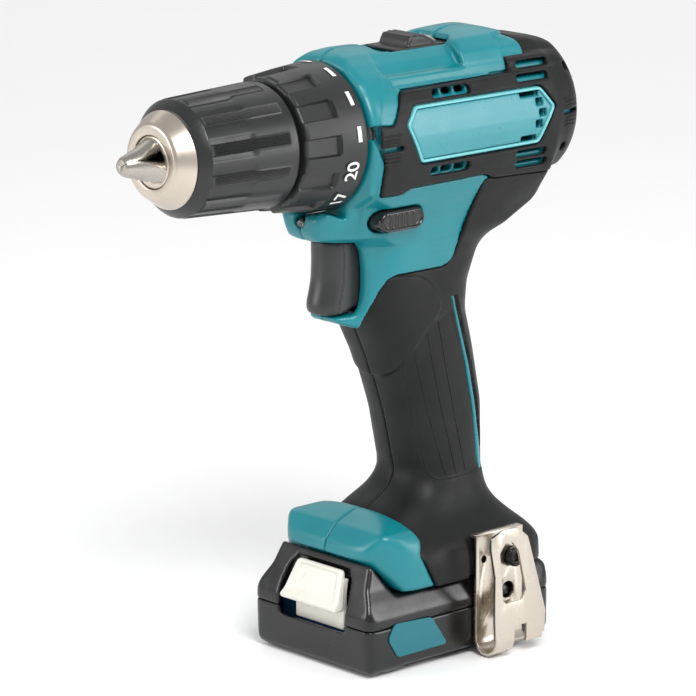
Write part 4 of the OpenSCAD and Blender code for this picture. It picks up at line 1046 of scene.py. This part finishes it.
def battery_form(f):
    """Outside of the battery: rounded plan, sloping front hump, side shoulders and a raised skirt."""
    low, high = BATTERY_LOW, BATTERY_HIGH
    hump_top = span("battery_upper")[1][2]
    plan = f.plan([(0, low[1]), (high[0], low[1]), (high[0], high[1]), (0, high[1])], 5)
    side = f.side([(-42.5, 0), (36, 0), (high[1], 2.4), (high[1], 24.6), (35.6, 27), (-32.4, 27),
                   (-40, hump_top - 0.7), (-40.7, hump_top), (-41.3, hump_top - 1), (-48.3, 20.6),
                   (-48.6, 19), (-47.3, 5), (-46.9, 2.6), (-45.5, 0.7)], 0.8)
    front = f.front([(0, 0), (23, 0), (27.5, 0.9), (29.5, 3), (high[0], 6), (high[0], 20), (27.2, 25.4),
                     (24.3, 30), (22.5, hump_top), (0, hump_top)], 1.2)
    d = smooth_max(smooth_max(plan, side, 1.4), front, 1.4)
    skirt = overlap(26.4 - np.abs(f.x), -31 - f.y, f.z - 1.9 - 0.25 * (np.abs(f.x) - 27))
    return smooth_max(d, -skirt, 1.2)


def button_opening(f):
    """Opening in the battery's front: a wide shallow part for the cap and a deep one for the tongue."""
    deep = f.side([(-60, 14), (-45.2, 14), (-45.2, 9), (-41.6, 9), (-41.6, 20), (-40.6, 26.5), (-40.8, 31.8),
                   (-41.2, 35), (-60, 35)])
    wide = f.side([(-60, 14), (-45.4, 14), (-44.9, 17), (-41.5, 30.2), (-41.3, 35.2), (-60, 35.2)])
    front = f.front([(0, 14), (16.8, 14), (17.2, 25), (15.8, 31.7), (11.8, 35.4), (0, 35.4)], 2)
    return union(smooth_max(deep, np.abs(f.x) - 13.2, 0.5), smooth_max(wide, front, 0.6))


def battery():
    """Lower and upper case, with the four screw pockets, the rails and the slots for the tool's blades."""
    low, high = BATTERY_LOW, BATTERY_HIGH
    f = Field(low - 0.8, (high[0] + 0.8, high[1] + 0.8, 39), 0.5)
    room = f.box((low[0] + 2, low[1] + 2, 2), (high[0] - 2, high[1] - 2, 25), 6)
    seam = high[2]
    shell = carved(battery_form(f), [room], 0.4)
    shell = carved(shell, [button_opening(f)], 0.6)
    lower = smooth_max(shell, f.z - seam + 0.12, 0.5)
    for x in (-25.6, 25.6):
        for y in (-41.2, 31):
            lower = carved(lower, [overlap(f.post(x, y, 2.3), f.z - 4)], 0.4)
            lower = union(lower, overlap(f.post(x, y, 2.6), -f.post(x, y, 1.4), f.z - seam, 4 - f.z))
    finish(moulded("battery_lower_shell", f, lower, 0.3), "battery", "battery_black", "battery_lower")
    upper = smooth_max(shell, seam + 0.12 - f.z, 0.5)
    stem, flange = f.box((-18, -31, 26), (18, 30, 31), 0.4), f.box((-20.5, -31, 30.8), (20.5, 30, 33.8), 0.5)
    upper = smooth_min(upper, union(stem, flange), 0.5)
    upper = carved(upper, [f.box((x - 1, 7, 28.4), (x + 1, 40, 40)) for x in (-9, 0, 9)], 0.3)
    finish(moulded("battery_upper_shell", f, upper, 0.3), "battery", "battery_black", "battery_upper")


def battery_button():
    """Release button: a curved face with a lip over a sunk tongue."""
    f = Field((-16.4, -51.4, 12.8), (16.4, -40.6, 36), 0.36)
    cap = smooth_max(f.side([(-50.1, 22.4), (-49.4, 20.8), (-45.7, 21), (-42.1, 34.4), (-43.8, 34.4),
                             (-48.2, 24.2)], 0.8),
                     f.front([(0, 18), (14.4, 18), (14.2, 22), (11.4, 34.6), (0, 34.6)], 2), 0.8)
    dish = smooth_max(f.side([(-60, 24.4), (-47.4, 24.4), (-43.5, 33.2), (-60, 33.2)], 0.8),
                      f.front([(0, 22), (11.9, 22), (9.2, 33.6), (0, 33.6)], 1.6), 0.6)
    tongue = smooth_max(f.side([(-46.2, 20.6), (-43.9, 20.6), (-43.9, 13.4), (-42.2, 13.4), (-42.2, 26),
                                (-41.4, 31.4), (-44.2, 31.4)], 0.4), np.abs(f.x) - 12.4, 0.6)
    piece = moulded("battery_button_cap", f, smooth_min(carved(cap, [dish], 0.4), tongue, 0.5), 0.6)
    finish(piece, "battery_button", "button_white", "battery_button")


def battery_labels():
    """Plain side labels: thin films with rounded corners."""
    outline = [(-39.6, 13.2), (-36.6, 18.2), (-19.6, 17.4), (-12.2, 6.6), (-35.2, 6.2)]
    for label, side in SIDES:
        points = rounded(outline, 1.6)
        n = len(points)
        out = [(side * (BATTERY_HIGH[0] + t) * MM, y * MM, z * MM) for t in (-0.3, 0.12) for y, z in points]
        faces = [tuple(range(n))[::-1], tuple(range(n, 2 * n))]
        faces += [(i, (i + 1) % n, n + (i + 1) % n, n + i) for i in range(n)]
        if side < 0:
            faces = [q[::-1] for q in faces]
        piece = new_object(f"label_{label}_film", out, faces)
        piece.data.shade_flat()
        finish(piece, "battery", "label_teal", f"label_{label}")


def hardware():
    """Metal pieces that keep their CAD shape, with broken edges."""
    finish(softened("belt_clip_steel", "belt_clip", 0.28), "drill", "nickel", "belt_clip", look="clip_nickel")
    finish(softened("clip_screw_head", "clip_screw", 0.3), "drill", "black_steel", "clip_screw")
    for i in (1, 2, 3):
        finish(softened(f"jaw_{i}_ground", f"jaw_{i}", 0.18), f"jaw_{i}", "jaw_steel", f"jaw_{i}")


for label, side in SIDES:
    housing(label, side)
    bumper(label, side)
    grip(label, side)
    stripe(label, side)
    badge(label, side)
    ribs(label, side)
trigger()
direction_lever()
speed_selector()
chuck_sleeve()
nose_cap()
torque_ring()
ring_marks()
battery()
battery_button()
battery_labels()
hardware()

# ---- floor, light and camera


def area_light(name, place, target, size, power):
    light = bpy.data.lights.new(name, "AREA")
    light.shape = "RECTANGLE"
    light.size, light.size_y = size
    light.energy = power
    obj = bpy.data.objects.new(name, light)
    obj.location = place
    obj.rotation_euler = (Vector(target) - Vector(place)).to_track_quat("-Z", "Y").to_euler()
    bpy.context.scene.collection.objects.link(obj)


def studio():
    floor = new_object("floor", [(-6, -6, 0), (6, -6, 0), (6, 6, 0), (-6, 6, 0)], [(0, 1, 2, 3)])
    paper = Look("floor_paper", (0.93, 0.93, 0.93), 0.9).mottle(60, 0.004)
    floor.data.materials.append(paper.material)
    world = bpy.data.worlds.new("studio")
    bpy.context.scene.world = world
    world.use_nodes = True
    world.node_tree.nodes["Background"].inputs["Color"].default_value = (1, 1, 1, 1)
    world.node_tree.nodes["Background"].inputs["Strength"].default_value = 0.6
    centre = (0, -0.03, 0.12)
    area_light("key", (0.75, -0.35, 0.95), centre, (0.5, 0.5), 11)
    area_light("side", (1.0, 0.75, 0.45), centre, (0.35, 0.8), 6)
    area_light("front", (-0.6, -1.1, 0.5), centre, (0.5, 0.7), 6)
    area_light("backdrop", (-1.6, 1.5, 1.7), (-1.7, 1.6, 0), (2.6, 2.6), 15)


def camera():
    """Looks at the drill from its front left, a little from above."""
    azimuth, elevation, distance = math.radians(47.86), math.radians(13.3), 1.471
    target = Vector((0, -0.0308, 0.108))
    back = Vector((math.cos(elevation) * math.sin(azimuth), -math.cos(elevation) * math.cos(azimuth),
                   math.sin(elevation)))
    data = bpy.data.cameras.new("camera")
    data.sensor_width = 36
    data.lens = 224.35
    obj = bpy.data.objects.new("camera", data)
    obj.location = target + back * distance
    obj.rotation_euler = (-back).to_track_quat("-Z", "Y").to_euler()
    bpy.context.scene.collection.objects.link(obj)
    bpy.context.scene.camera = obj


dress_frame()
studio()
camera()
bpy.context.scene.view_settings.view_transform = "Standard"
bpy.context.view_layer.update()
